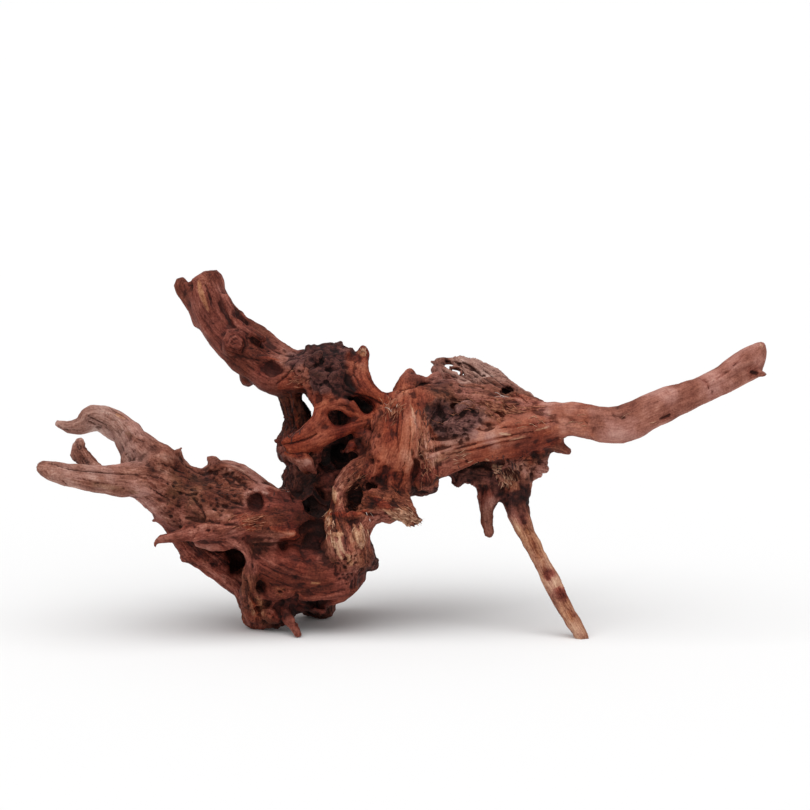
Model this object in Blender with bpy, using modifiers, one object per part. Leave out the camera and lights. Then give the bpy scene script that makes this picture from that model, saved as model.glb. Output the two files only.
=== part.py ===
"""A driftwood root for an aquarium: one gnarled piece of wood that stands on a leg and two knobs.

Metres, +Z up. +X runs along the long arm, +Y points away from the front side.
Every limb is laid out as it is seen from the front: how far across, how far up, and how far back.
"""

import math
import random

import bmesh
import bpy
from mathutils import Vector, noise

MM = 0.001

# The front view that the limbs are laid out in
VIEW_TILT = math.radians(8)
VIEW_DISTANCE = 2000
VIEW_ACROSS = 3.0
VIEW_UP = 139.8

# Where the layout's own zero lies, measured from the middle of the finished root
SHIFT_ACROSS = -4.3
SHIFT_BACK = -61.6

# How the lofts are made and fused, in millimetres
RING_STEP = 3.0
SIDES = 16
FUSE_VOXEL = 1.6
CARVED_VOXEL = 1.9
SMOOTHING = 0.45
FACE_COUNT = 11400

# Each limb is lobed across the grain, and the lobes turn as they run along it, in radians per metre
FLUTE = 0.17
LOBES = 3
LOBE_DRIFT = 30
GRAIN_SEED = 11

# How far a blunt tip reaches past a limb's last station, and how wide it ends, for its radius
TIP_REACH = 0.55
TIP_WIDTH = 0.62

# The relief that water and rot leave on the skin, in millimetres
SWELL = 0.45
LUMP_HEIGHT = 1.2
LUMP_SIZE = 24.0
RIDGE_HEIGHT = 0.8
RIDGE_SIZE = 9.0
RIDGE_LEVEL = 0.5
BARK_HEIGHT = 2.2
BARK_SIZE = 10.0
BARK_LEVEL = 0.6
BARK_EDGE = 2.5
BARK_OFFSET = Vector((9, 4, 7))

# The wood's own colour, linear, and its roughness
WOOD_COLOUR = (0.13, 0.052, 0.034, 1)
WOOD_ROUGHNESS = 0.72

# Where rough bark is left on the root: across, up, back, and how far it reaches
BARK = [
    (-44, 164, 28, 32), (38, 131, 4, 26), (74, 104, 24, 24), (-8, 92, 6, 22), (-78, 20, 20, 20),
    (-46, 24, 50, 20), (-66, 108, 42, 20), (14, 126, 110, 30), (-118, 78, 66, 24),
]

# Each limb runs through stations of (across, up, back, radius), in millimetres
FINGERS = {
    "lower_finger": [
        (-216.4, 101.7, -27, 3.4), (-213, 101.3, -26, 5.2), (-206, 99, -25, 6.8),
        (-198, 97.4, -24, 7.6), (-188, 95.9, -22, 8.1), (-178, 94.8, -20, 8.3),
        (-170, 94.2, -16, 9.3), (-157, 94.2, -10, 11.6), (-147, 93, -4, 13.2), (-136, 90, 3, 15),
    ],
    "lower_finger_thorn": [(-168, 83.6, -16, 1.2), (-167, 87, -16, 3.5), (-163, 92, -13, 7)],
    "upper_finger": [
        (-209, 129.5, 22, 1.2), (-206, 128.9, 22, 1.9), (-201, 127.1, 21, 2.9),
        (-195, 126.3, 20, 3.7), (-189.5, 127.6, 19, 4.8), (-185.5, 132.2, 18, 7.1),
        (-180, 132.8, 17, 7.2), (-173, 129.8, 16, 7.4), (-166.4, 125.4, 14, 7.8),
        (-160, 118.4, 10, 9.6), (-153, 109, 5, 12.2), (-144, 101, 2, 15),
    ],
    "upper_finger_corner": [(-184.6, 139.2, 18, 2), (-182.5, 134, 18, 5)],
    "nub": [
        (-193.6, 117.8, -4, 2.3), (-193.4, 114.5, -4, 3.4), (-191.4, 110.2, -5, 5.4),
        (-187.6, 105, -7, 5.4), (-182.6, 99, -12, 5.2),
    ],
    "nub_thorn": [(-196.8, 109.3, -4, 2.2), (-192.6, 109, -5, 3.2)],
}
LEFT_BODY = {
    "body_top": [
        (-160, 104.5, 8, 11), (-150, 103.4, 6, 12), (-140, 99, 6, 12), (-131, 93, 6, 10.6),
        (-122, 91.2, 8, 9.4), (-114, 91.2, 10, 9.6), (-106, 95.3, 12, 10.9), (-99, 94, 13, 10.6),
        (-92, 89.8, 14, 10.6), (-86, 84.8, 16, 10.4), (-80, 80.5, 18, 9.8), (-70, 77, 22, 10.6),
    ],
    "body_middle": [
        (-155, 97, -2, 11.4), (-143, 87.6, -2, 12.6), (-130, 80.6, 0, 15), (-116, 77, 3, 17.6),
        (-102, 76, 6, 18), (-88, 74, 8, 18), (-74, 70, 12, 18),
    ],
    "body_back": [
        (-150, 100, 18, 10), (-132, 88, 26, 13), (-112, 82, 34, 15), (-92, 76, 40, 17),
        (-70, 72, 44, 18),
    ],
    "body_thorn": [(-146.2, 69.8, -2, 2.1), (-143.2, 73, -2, 3.4), (-139, 79, -2, 6)],
    "lower_edge": [
        (-138, 75.6, 0, 7.6), (-131.9, 65, 2, 7), (-126.3, 57.6, 5, 7), (-120.4, 52, 8, 7.4),
        (-112.6, 45.6, 11, 7.4), (-104.6, 39.8, 14, 7.6), (-97.2, 34.8, 17, 7.4),
        (-90.8, 27.6, 20, 6.9), (-89.1, 18, 23, 6.8), (-87.2, 12, 26, 6.6),
    ],
    "lower_edge_back": [
        (-128, 66, 16, 8), (-116, 56, 24, 10), (-102, 48, 32, 13), (-88, 40, 36, 14),
        (-78, 30, 34, 13),
    ],
    "lower_edge_knob": [(-129.4, 47.4, 4, 2.5), (-126, 51.5, 5, 4.6)],
    "top_thorn": [(-131.6, 113.4, 4, 2), (-133.4, 109.5, 4, 2.6), (-133, 103, 5, 4)],
    "second_thorn": [(-115, 108.8, 8, 2.4), (-112, 106, 9, 3.6), (-107, 99, 10, 7)],
    "small_lump": [(-77.2, 92.2, 18, 2.1), (-77, 87, 19, 4)],
    "side_spike": [
        (-145.6, 58.6, -20, 2), (-143.3, 59.6, -20, 2.4), (-138, 60.4, -19, 3),
        (-131, 61.5, -18, 3.9), (-123, 62.8, -17, 4.9), (-114, 64.6, -16, 6), (-104, 67, -14, 7),
        (-94, 69, -12, 7.5), (-84, 70.5, -9, 8), (-73, 71, -5, 8.5), (-63, 71.5, 0, 9),
        (-54, 74, 8, 9),
    ],
    "spike_root": [(-122, 58, -11, 3.5), (-112, 58, -8, 6), (-100, 60, -4, 7), (-88, 62, 0, 9)],
    "red_streak": [
        (-86, 66, -12, 3.5), (-76, 65.5, -11, 4.0), (-66, 62.5, -8, 3.6), (-58, 61, -2, 3.0),
    ],
}
LOWER_BODY = {
    "hollow_rim": [
        (-104, 60.5, -11, 4), (-97.5, 56.5, -11, 4.2), (-92.8, 51, -10, 4.2),
        (-90.6, 44.5, -9, 4.4), (-90.4, 37, -6, 4.6), (-91.3, 30, -1, 4.8),
        (-90.5, 22, 8, 5.4), (-87.5, 14, 20, 5.8),
    ],
    "lower_mass": [
        (-88, 32, 24, 14), (-76, 34, 22, 18), (-64, 36.5, 21, 19), (-52, 38.5, 21, 19),
        (-40, 41, 22, 18.4), (-30, 43.5, 20, 15),
    ],
    "lower_mass_front": [
        (-84, 46, 4, 11), (-74, 44, 4, 13), (-62, 41, 4, 13), (-50, 38, 6, 12.5),
        (-40, 37, 8, 12), (-31, 37, 10, 10),
    ],
    "lower_mass_back": [
        (-92, 56, 30, 18), (-74, 52, 38, 20), (-54, 52, 42, 20), (-38, 56, 42, 17),
    ],
    "left_foot": [(-80, 32, 20, 12), (-84.8, 19.6, 22, 9.4), (-86.6, 10.2, 27, 7.6)],
    "left_foot_toe": [(-77, 25, 22, 9.5), (-74, 11.4, 26, 7.2)],
    "foot_ledge": [(-86, 24, 8, 4), (-76, 27, 4, 5.5), (-67, 28.5, 4, 5)],
    "rear_foot": [(-60, 32, 36, 13), (-53, 24, 53, 10.8), (-49.4, 19.8, 64, 10)],
    "rear_foot_lump": [(-44, 31, 42, 8), (-46.4, 23.4, 56, 7.4)],
    "hanging_twig": [
        (-70, 18, 14, 3.9), (-66.6, 12, 9, 3.4), (-63.9, 7.2, 5.5, 2.9), (-61.6, 3.6, 3, 2.5),
    ],
    "lower_plate": [(-56, 50, 14, 13), (-42, 50, 11, 14), (-31, 50, 9, 13.5), (-21.6, 48, 10, 9.3)],
    "plate_corner": [(-15, 43, 12, 3.6), (-18, 46, 11, 6)],
    "plate_rim": [(-52, 22.5, 10, 2.0), (-42, 24.5, 6, 2.6), (-31, 27.5, 6, 2.6), (-27, 31, 8, 3)],
}
COLUMN = {
    "column_left": [
        (-10, 108, 15, 9), (-21, 102, 12, 8.5), (-30, 96, 9, 7.5), (-35.6, 88, 8, 6.2),
        (-37.6, 79, 5, 6.6), (-37.6, 70, 2, 8.6), (-36.5, 60, -1, 10), (-34, 50, 1, 11),
        (-33, 42, 7, 10),
    ],
    "column_right": [
        (-10, 82, 12, 8), (-18, 74, 6, 7.2), (-25, 65, 1, 7.6), (-25.5, 55, 0, 8),
        (-23, 47, 5, 8.7),
    ],
    "column_chip": [(-46, 73, 2, 2.2), (-42.5, 71, 1, 4)],
    "lower_bracket": [
        (-24, 84, 10, 8.5), (-15, 81, 5, 9.5), (-6, 80, 2, 9.6), (0.4, 78.5, 0, 7.6),
        (4.6, 75, -1, 5.4), (9.2, 71.2, -2, 3.4), (11.6, 71.2, -2, 2.3),
    ],
    "bracket_splinter": [
        (-11, 79, -6, 2.4), (-3, 75.5, -7, 2.8), (3.6, 71.4, -5, 2.9), (6.4, 68.4, -4, 2.4),
    ],
    "bracket_top": [(-16, 92, 14, 9), (-5, 91.5, 10, 9), (2, 91.4, 10, 7), (3.4, 86, 8, 4)],
    "bracket_lump": [(-12.2, 71, 6, 2.8), (-14, 76, 6, 5)],
    "bracket_drip": [(-6.8, 69.8, 2, 2.6), (-6, 74, 2, 4)],
    "under_lobe": [(0, 96, 18, 10), (9, 94.8, 17, 8.8), (16, 92, 17, 6.2), (22.2, 89.8, 17, 3)],
    "under_thorn": [(36, 97, 24, 5.2), (35.2, 93, 24, 3.6), (34.6, 90.8, 24, 2.5)],
}
CENTRE = {
    "wall_crest": [
        (6.4, 160.2, 33, 2.9), (5.6, 155.2, 32, 5.6), (5.2, 149, 29, 8.2), (6, 142, 26, 10),
    ],
    "wall_ridge": [
        (0, 148.6, 30, 5), (8, 151.5, 33, 5), (15, 152, 34, 4.8), (21, 152.5, 35, 4.4),
        (22.6, 158.5, 38, 3.2),
    ],
    "wall_upper": [
        (-2, 140, 22, 8), (3, 133, 16, 12), (4, 122, 13, 14), (2, 111, 13, 14), (0, 101, 16, 12),
    ],
    "wall_left": [
        (-9, 137, 20, 5), (-8.5, 127, 13, 7), (-9.5, 117, 9, 9), (-12, 108, 9, 9), (-18, 101, 12, 9),
    ],
    "wall_edge": [
        (10, 148, 20, 4), (11.5, 138, 12, 4.5), (13, 127, 7, 4.5), (15.5, 116, 4, 4.5),
        (17.5, 106, 5, 5), (16, 97, 10, 6),
    ],
    "wall_fork": [(14, 118, 5, 4), (9, 110, 5, 4), (4, 102, 7, 4.5), (6, 94, 9, 4)],
    "core_left": [(-54, 96, 44, 13), (-38, 98, 46, 19), (-20, 102, 46, 24), (0, 108, 44, 24)],
    "core_right": [
        (0, 108, 44, 24), (16, 118, 42, 22), (34, 121, 38, 20), (52, 121, 33, 20),
        (66, 121, 28, 17),
    ],
    "core_low": [(-60, 70, 34, 17), (-50, 84, 38, 17), (-38, 96, 42, 18)],
    "core_high": [(-42, 110, 48, 13), (-36, 126, 48, 11.5), (-38, 145, 42, 13), (-22, 126, 42, 14)],
}
UPPER_LEFT_ARM = {
    "arm_main": [
        (-118, 212, 60, 11), (-115.6, 203, 59, 12.2), (-112.4, 194, 57, 12.1),
        (-107, 185.5, 54, 12.1), (-100, 178, 51, 12.2), (-91.4, 171, 47, 12.4),
        (-82.4, 164.6, 44, 12), (-73, 159, 40, 12.4), (-63, 158.6, 36, 10.4), (-54, 160, 33, 11),
    ],
    "left_lobe": [
        (-131, 213.6, 60, 4.6), (-128.8, 208.4, 60, 5.2), (-121.8, 202.4, 59, 6.8),
        (-115, 192, 57, 9),
    ],
    "right_lobe": [
        (-113.8, 215.6, 60, 8), (-112.6, 208, 60, 8.6), (-110.6, 199, 59, 9), (-107, 190, 57, 9),
    ],
    "mid_lobe": [(-123, 213.5, 64, 3), (-121.5, 206, 62, 5)],
    "right_ridge": [
        (-106, 203, 66, 4), (-101.4, 195.6, 64, 4.4), (-94, 188.2, 60, 4.4), (-85, 183.2, 56, 4.6),
        (-76, 175.8, 51, 5), (-67.4, 168.4, 44, 5.6), (-58, 166, 38, 6),
    ],
    "front_strand": [
        (-118, 210, 50, 3), (-117.5, 202, 47, 3.2), (-113, 192, 45, 3.4), (-107, 183, 42, 3.6),
        (-100, 177, 39, 4),
    ],
    "knot": [(-100.5, 176, 41, 6.2), (-99.5, 175, 37.5, 4.8)],
    "dark_knob": [(-92.8, 153.8, 48, 3.9), (-89, 158.5, 47, 4.4)],
    "arm_strut": [
        (-67.9, 152, 40, 7.6), (-65.6, 142, 42, 6.3), (-62.4, 134.5, 44, 7.4), (-61.6, 127, 46, 8),
        (-62.8, 120, 46, 10.6), (-62.2, 114, 46, 12.4), (-58.8, 104, 44, 9.2),
        (-59.5, 96, 42, 10.3), (-60, 87, 38, 12),
    ],
    "strut_chip": [(-66.4, 129.4, 43, 2.4), (-63, 128.5, 44, 4.4)],
    "strut_lump": [(-54.6, 136.2, 46, 2.2), (-58, 134, 46, 4)],
    "strut_thorn": [(-69.4, 96.2, 38, 2.6), (-64, 96, 40, 4.4)],
}
CROWN = {
    "crown_ball": [
        (-56, 165, 33, 11.4), (-47, 161.6, 33, 14.6), (-38, 162.2, 33, 14.4), (-31, 159, 32, 11.6),
    ],
    "crown_front": [(-44, 158, 22, 11), (-38, 152, 20, 10)],
    "crown_peg": [
        (-21.6, 174, 30, 3), (-21.8, 169, 29, 3.9), (-23.2, 161, 26, 6), (-22.8, 153.5, 24, 6),
        (-18, 146, 22, 5.8), (-10, 140, 22, 6.2), (-1, 140, 22, 8),
    ],
    "crown_peg_side": [
        (-30, 166, 26, 3.4), (-31.5, 160, 23, 3.6), (-29, 152, 21, 4.4), (-22, 146, 20, 5),
    ],
    "crown_back": [(-52, 158, 46, 12), (-38, 154, 50, 13.4), (-25, 138, 48, 11)],
}
WEB = {
    "web_upper": [
        (-72.2, 116.8, 3, 1.9), (-68, 118.3, 4, 2.5), (-61, 120.6, 6, 3.2), (-54.8, 124, 9, 4.1),
        (-49.4, 129, 12, 4.6), (-46.8, 136, 16, 4.9), (-47.6, 143, 20, 5), (-51.6, 150.2, 25, 4.4),
        (-58.4, 155, 30, 4.4), (-67, 157, 35, 6),
    ],
    "web_top": [
        (-47, 136, 15, 4.5), (-42, 140, 13, 3.6), (-34, 142, 12, 3.4), (-27.5, 138, 13, 3.2),
        (-21, 133.5, 16, 3.6), (-13, 133, 18, 4),
    ],
    "web_root": [(-50, 144, 22, 6), (-44, 145, 26, 7)],
    "web_lower": [
        (-69.4, 113.4, 5, 1.7), (-65, 112.4, 6, 2.6), (-57, 115, 8, 3.8), (-48, 119.2, 10, 4.8),
        (-39, 123.2, 12, 4.4), (-30, 126.4, 14, 4), (-21, 129, 18, 4.6), (-13, 130, 20, 5),
    ],
    "web_flake": [(-62, 110, 12, 3), (-57.5, 105.5, 14, 4.2), (-54.5, 99.8, 18, 3.2)],
    "web_flake_side": [(-50, 114, 15, 4), (-50, 106, 20, 4), (-47, 103, 26, 3)],
    "inner_knob": [(-29.6, 115.4, 20, 4.0), (-29, 114, 32, 6)],
    "inner_strand": [(-18, 128, 22, 4), (-23, 121, 24, 3.6), (-24, 112, 24, 4), (-30, 106, 26, 5)],
}
LONG_ARM = {
    "arm_tip": [
        (74, 127.6, 24, 13.6), (84, 128.4, 20, 11.2), (94, 130.8, 17, 9.8), (104, 131.3, 14, 9.1),
        (114, 130, 10, 8.9), (124, 128.2, 7, 9.4), (133, 128.8, 5.5, 10), (142, 132, 5.5, 10),
        (151, 136.8, 7, 9.6), (160, 140.4, 10, 9.1), (170, 144.6, 14, 7.9), (180, 148.8, 18, 7.4),
        (190, 153.4, 22, 7), (199, 158.6, 26, 7.4), (206.6, 163.8, 30, 8), (211.6, 168.2, 33, 7),
        (215.2, 172.6, 35, 4.8), (217, 175.8, 36, 3),
    ],
    "arm_lip": [(205, 158.6, 29, 3.9), (212, 158.2, 31, 3), (215.2, 158.2, 32, 2.2)],
    "root_low": [
        (86, 122.5, 18, 8), (72, 119, 14, 9), (58, 115.5, 11, 9), (46, 112.6, 10, 7.5),
        (34, 110, 10, 7), (25, 106, 11, 6.5), (17, 104, 12, 6),
    ],
    "root_mid": [
        (88, 126, 15, 8), (74, 125, 11, 10), (60, 121, 9, 10), (47, 118, 10, 8), (34, 115, 12, 7),
    ],
    "root_top": [
        (84, 132, 22, 9), (72, 133, 24, 12), (58, 134, 25, 14), (45, 135, 27, 15),
        (30, 135, 30, 15),
    ],
    "stub_twig": [(90, 117.5, 22, 5.4), (96, 114.8, 21, 4), (101.2, 111.6, 20, 2.9)],
    "twig_root": [(96.4, 119.8, 20, 4.4), (90, 119, 21, 5)],
}
BURL = {
    "burl_left": [(17, 143, 18, 7), (17.5, 134, 12, 6), (19, 125, 10, 5)],
    "burl_top": [
        (18, 147, 24, 6), (27, 146.5, 22, 6.4), (37, 144, 20, 7), (48, 141.5, 18, 8),
        (60, 138, 18, 8),
    ],
    "burl_middle": [(33, 130, 8, 8), (42, 129, 6, 9), (51, 127, 10, 8)],
    "burl_chin": [(29, 125, 6, 4.4), (38, 122.5, 5, 5), (46, 121.5, 8, 4)],
}
STUMP = {
    "stump_base": [
        (76, 138.5, 36, 7), (69, 143, 40, 7.4), (60, 146, 43, 8), (50, 148, 45, 7.6),
        (43, 147, 44, 7),
    ],
    "slat_top": [
        (45.6, 166.5, 62, 2.1), (52, 161.6, 60, 2.7), (60, 155.4, 56, 3), (68, 149, 51, 3.2),
        (76, 143, 44, 3.8), (82, 138.8, 38, 4),
    ],
    "slat_second": [
        (34.2, 168.8, 66, 2.2), (38, 166.4, 65, 2.9), (43, 163, 62, 4.6), (49, 158.8, 59, 5.2),
        (57, 154, 55, 5.2), (65, 148.4, 50, 5),
    ],
    "slat_plate": [(40, 164, 63, 3.6), (47, 161, 61, 4.8), (55, 155.6, 58, 5.2), (63, 149.6, 53, 5.6)],
    "slat_third": [
        (21.4, 163.8, 62, 2.8), (26, 165.6, 62, 2.3), (31.6, 165.6, 61, 2.2),
        (37.6, 163.6, 60, 2.6),
    ],
    "slat_fourth": [
        (22, 161, 56, 3), (28, 159.4, 55, 3), (34, 156.6, 53, 3), (41, 153, 51, 3.6),
        (49, 150, 48, 4),
    ],
    "slat_upright": [(22, 163.2, 54, 3), (22, 157, 46, 3.2), (22.6, 151, 36, 3.2)],
    "slat_low": [(27, 157.4, 47, 2.1), (33, 154.6, 46, 2.4), (40, 150.6, 45, 3)],
}
CORNER = {
    "corner_burl": [(64, 108, 28, 12), (72, 106.5, 28, 11.5), (79, 105, 28, 8)],
    "corner_lobe": [(80, 110, 26, 5), (84.8, 104, 27, 3.8)],
    "corner_nub": [(76, 98, 28, 4.6), (81.8, 97.2, 28, 2.8)],
    "corner_bridge": [(86, 114, 24, 6), (78, 110, 26, 8)],
    "belly": [
        (24, 107, 24, 8), (33, 106, 27, 8.6), (43, 103.4, 28, 11), (53, 101, 29, 12.5),
        (62, 99, 28, 12),
    ],
    "long_leg": [
        (70, 98, 26, 9.5), (70, 88, 22, 7.5), (69.6, 78, 18, 5.9), (75, 64.5, 14, 4.8),
        (82.4, 50, 10, 4.7), (89.3, 36, 7, 5), (97.6, 20, 3.5, 4.9), (105.5, 7, 1, 4.5),
        (110, -1, 0, 4.3),
    ],
    "leg_strand": [(76, 92, 24, 3), (75.6, 82, 20, 2.4), (75, 74, 17, 2.2)],
    "short_leg": [
        (54, 93, 26, 7.4), (52.6, 85, 24, 5.6), (51.8, 76, 22, 4.3), (52.4, 68, 20, 4.1),
        (54, 61.8, 19, 3.4),
    ],
    "leg_bridge": [(54, 85.5, 24, 4.6), (60, 86.4, 23, 4.6), (66, 85.5, 22, 5)],
}
BACK = {
    "back_root": [
        (-6, 101, 58, 17), (8, 108, 80, 13), (24, 116, 100, 9.5), (38, 122, 116, 6.5),
        (44, 124, 124, 4),
    ],
    "back_root_fork": [(20, 114, 96, 7), (14, 124, 110, 5), (12, 130, 118, 3)],
    "back_brace": [
        (-26, 96, 58, 16), (-30, 74, 68, 12), (-38, 54, 76, 10), (-46, 38, 74, 9), (-49, 26, 64, 9),
    ],
    "back_stub": [(-84, 72, 44, 14), (-100, 74, 56, 10), (-113, 77, 68, 7.5), (-122, 80, 76, 5.5)],
    "back_flank": [(-80, 56, 46, 14), (-60, 62, 56, 14), (-36, 74, 60, 14)],
    "back_ridge": [(-44, 148, 52, 8), (-34, 132, 62, 9), (-20, 116, 66, 10), (-8, 100, 64, 10)],
    "back_arm_root": [(70, 124, 40, 9), (48, 120, 50, 11), (24, 112, 56, 12), (4, 104, 58, 13)],
}
LIMB_GROUPS = (
    FINGERS, LEFT_BODY, LOWER_BODY, COLUMN, CENTRE, UPPER_LEFT_ARM, CROWN,
    WEB, LONG_ARM, BURL, STUMP, CORNER, BACK,
)

# How deep a limb is for its width, where it isn't round
DEPTH_RATIO = {
    "body_middle": 1.1, "side_spike": 0.9, "web_upper": 0.8, "web_top": 0.8, "web_lower": 0.8,
    "web_flake": 0.6, "slat_top": 0.7, "slat_second": 0.6, "slat_fourth": 0.6, "arm_main": 1.05,
    "hollow_rim": 0.9, "plate_rim": 1.4,
}

# Each hollow is a bore through stations of (across, up, back, radius), and a height for its width
HOLLOWS = {
    "lower_left_hollow": (
        1.3, [(-100.6, 46, -40, 7.6), (-100.4, 46, -6, 7.4), (-99, 46.6, 10, 6.4), (-96, 48, 22, 4)],
    ),
    "middle_hollow": (1.05, [(-86.4, 81.2, -30, 4.9), (-86.4, 81.2, 0, 4.7), (-85.5, 81, 10, 3.6)]),
    "dark_cleft": (1.5, [(-55, 57.5, -40, 8), (-54.6, 57.5, 0, 8), (-54, 58, 14, 7), (-53, 60, 26, 5)]),
    "cleft_tail": (0.6, [(-70, 55.5, -30, 7), (-69, 55.5, -4, 6.5), (-67, 55.5, 6, 4.5)]),
    "upper_cavity": (
        1.25,
        [(-36.5, 111.5, -30, 7.6), (-36.5, 111.5, 14, 7.8), (-35.5, 111.5, 30, 6.4), (-34, 112, 40, 4)],
    ),
    "upper_cavity_low": (0.8, [(-43, 103.6, -20, 5.6), (-43, 103.6, 16, 5.4), (-42, 103.6, 28, 4)]),
    "side_cavity": (1.4, [(-50.4, 83.4, -30, 5.8), (-50.2, 83.4, 6, 5.8), (-49.5, 83.4, 22, 4.6)]),
    "web_hole": (0.62, [(-37, 131.4, -10, 5.6), (-36.8, 131.2, 16, 5.4), (-36, 131, 30, 4)]),
    "web_hole_right": (0.85, [(-21.4, 139.6, -10, 4.9), (-21.4, 139.4, 20, 4.8), (-21.4, 139, 32, 3.6)]),
    "column_cave": (1.5, [(-26.5, 85.5, -20, 4.6), (-26.5, 85.5, 4, 4.6), (-26, 85.5, 16, 3.4)]),
    "bracket_hole": (0.8, [(-17.5, 91.4, -20, 3.4), (-17.5, 91.4, 8, 3.2), (-17, 91.4, 16, 2.4)]),
    "arm_hollow": (0.62, [(-77, 162.4, 0, 6.6), (-77, 162.4, 34, 6.2), (-76, 161.6, 41, 4)]),
    "stump_hole": (0.6, [(63.4, 147, 0, 4.2), (63.4, 147, 40, 4.0), (63.4, 147, 46, 2.6)]),
    "burl_cave": (2.2, [(24.4, 135.6, -30, 3.4), (24.4, 135.6, 10, 3.4), (25.4, 135.6, 20, 2.4)]),
    "burl_slot": (0.34, [(29, 119.8, -30, 7.6), (29, 120, 6, 7.4), (29, 120.6, 15, 5)]),
    "leg_split": (2.0, [(68, 84.5, -20, 2.6), (68, 84.5, 16, 2.5), (68, 85.5, 24, 1.8)]),
    "top_notch": (1.8, [(-127.2, 216, 20, 2.5), (-127, 215, 100, 2.3)]),
    "back_hollow": (1.2, [(-60, 84, 110, 9), (-58, 84, 62, 8.5), (-56, 84, 48, 6)]),
    "back_pocket": (1.1, [(28, 128, 120, 8), (28, 128, 62, 7.5), (28, 127, 50, 5)]),
}


def seen(across, up, back):
    """The point in space that the front view shows at across and up, this far behind the view plane."""
    right = Vector((1, 0, 0))
    lift = Vector((0, math.sin(VIEW_TILT), math.cos(VIEW_TILT)))
    away = Vector((0, math.cos(VIEW_TILT), -math.sin(VIEW_TILT)))
    centre = right * VIEW_ACROSS + lift * VIEW_UP
    eye = centre - away * VIEW_DISTANCE
    ray = right * (across - VIEW_ACROSS) + lift * (up - VIEW_UP) + away * VIEW_DISTANCE
    point = eye + ray * ((VIEW_DISTANCE + back) / VIEW_DISTANCE)
    return (point + Vector((SHIFT_ACROSS, SHIFT_BACK, 0))) * MM


def along(stations):
    """Points and radii on a smooth line through the stations, about one ring step apart."""
    points = [seen(*station[:3]) for station in stations]
    radii = [station[3] * MM * (VIEW_DISTANCE + station[2]) / VIEW_DISTANCE for station in stations]
    points = [points[0] * 2 - points[1]] + points + [points[-1] * 2 - points[-2]]
    radii = [radii[0]] + radii + [radii[-1]]
    line = []
    for i in range(1, len(points) - 2):
        before, start, end, after = points[i - 1:i + 3]
        steps = max(2, round((end - start).length / (RING_STEP * MM)))
        for step in range(steps + (i == len(points) - 3)):
            t = step / steps
            place = 0.5 * (
                2 * start + (end - before) * t
                + (2 * before - 5 * start + 4 * end - after) * t ** 2
                + (3 * start - before - 3 * end + after) * t ** 3
            )
            ease = t * t * (3 - 2 * t)
            line.append((place, radii[i] + (radii[i + 1] - radii[i]) * ease))
    return line


def loft(shell, stations, ratio=1.0, flute=FLUTE, draw=None):
    """Adds one closed limb: lobed rings whose lobes drift along it, with a blunt tip at each end."""
    line = along(stations)
    start, end = line[0], line[-1]
    first_way = (start[0] - line[1][0]).normalized()
    last_way = (end[0] - line[-2][0]).normalized()
    line.insert(0, (start[0] + first_way * start[1] * TIP_REACH, start[1] * TIP_WIDTH))
    line.append((end[0] + last_way * end[1] * TIP_REACH, end[1] * TIP_WIDTH))
    phases = [draw.uniform(0, math.tau) if draw else 0.0 for _ in range(LOBES)]
    drifts = [draw.uniform(-LOBE_DRIFT, LOBE_DRIFT) if draw else 0.0 for _ in range(LOBES)]
    reference = Vector((0, 1, 0)) if abs(first_way.y) < 0.8 else Vector((0, 0, 1))
    rings = []
    travelled = 0.0
    for i, (place, radius) in enumerate(line):
        way = (line[min(i + 1, len(line) - 1)][0] - line[max(i - 1, 0)][0]).normalized()
        side = reference.cross(way).normalized()
        reference = way.cross(side).normalized()
        if i:
            travelled += (place - line[i - 1][0]).length
        ring = []
        for k in range(SIDES):
            turn = math.tau * k / SIDES
            lobes = sum(
                math.cos((n + 2) * turn + phases[n] + drifts[n] * travelled) / (n + 1.4)
                for n in range(LOBES)
            )
            reach = radius * (1 + flute * lobes)
            offset = side * math.cos(turn) * reach + reference * math.sin(turn) * reach * ratio
            ring.append(shell.verts.new(place + offset))
        rings.append(ring)
    for ring, following in zip(rings, rings[1:]):
        for k in range(SIDES):
            shell.faces.new((ring[k], ring[(k + 1) % SIDES], following[(k + 1) % SIDES], following[k]))
    shell.faces.new(list(reversed(rings[0])))
    shell.faces.new(rings[-1])


def as_object(shell, name, collection):
    """Turns a bmesh into an object with its faces pointing out."""
    bmesh.ops.recalc_face_normals(shell, faces=shell.faces)
    mesh = bpy.data.meshes.new(name)
    shell.to_mesh(mesh)
    shell.free()
    made = bpy.data.objects.new(name, mesh)
    collection.objects.link(made)
    return made


def settle(piece):
    """Replaces a piece's mesh by what its modifiers make of it."""
    depsgraph = bpy.context.evaluated_depsgraph_get()
    settled = bpy.data.meshes.new_from_object(piece.evaluated_get(depsgraph))
    piece.modifiers.clear()
    piece.data = settled


def fuse(piece, voxel):
    """Grows everything in a piece together into one skin, and drops loose scraps."""
    remesh = piece.modifiers.new("Grown together", "REMESH")
    remesh.mode = "VOXEL"
    remesh.voxel_size = voxel * MM
    smooth = piece.modifiers.new("Worn", "SMOOTH")
    smooth.factor = SMOOTHING
    smooth.iterations = 1
    settle(piece)
    keep_largest(piece)


def keep_largest(piece):
    """Keeps the largest joined skin of a piece and removes the rest."""
    shell = bmesh.new()
    shell.from_mesh(piece.data)
    left = set(shell.verts)
    groups = []
    while left:
        group = [left.pop()]
        for vert in group:
            for edge in vert.link_edges:
                other = edge.other_vert(vert)
                if other in left:
                    left.remove(other)
                    group.append(other)
        groups.append(group)
    groups.sort(key=len, reverse=True)
    loose = [vert for group in groups[1:] for vert in group]
    bmesh.ops.delete(shell, geom=loose, context="VERTS")
    shell.to_mesh(piece.data)
    shell.free()


def limbs(collection):
    """All limbs of the root, still separate shells in one mesh."""
    draw = random.Random(GRAIN_SEED)
    shell = bmesh.new()
    for group in LIMB_GROUPS:
        for name, stations in group.items():
            loft(shell, stations, DEPTH_RATIO.get(name, 1.0), FLUTE, draw)
    return as_object(shell, "driftwood_root", collection)


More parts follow.
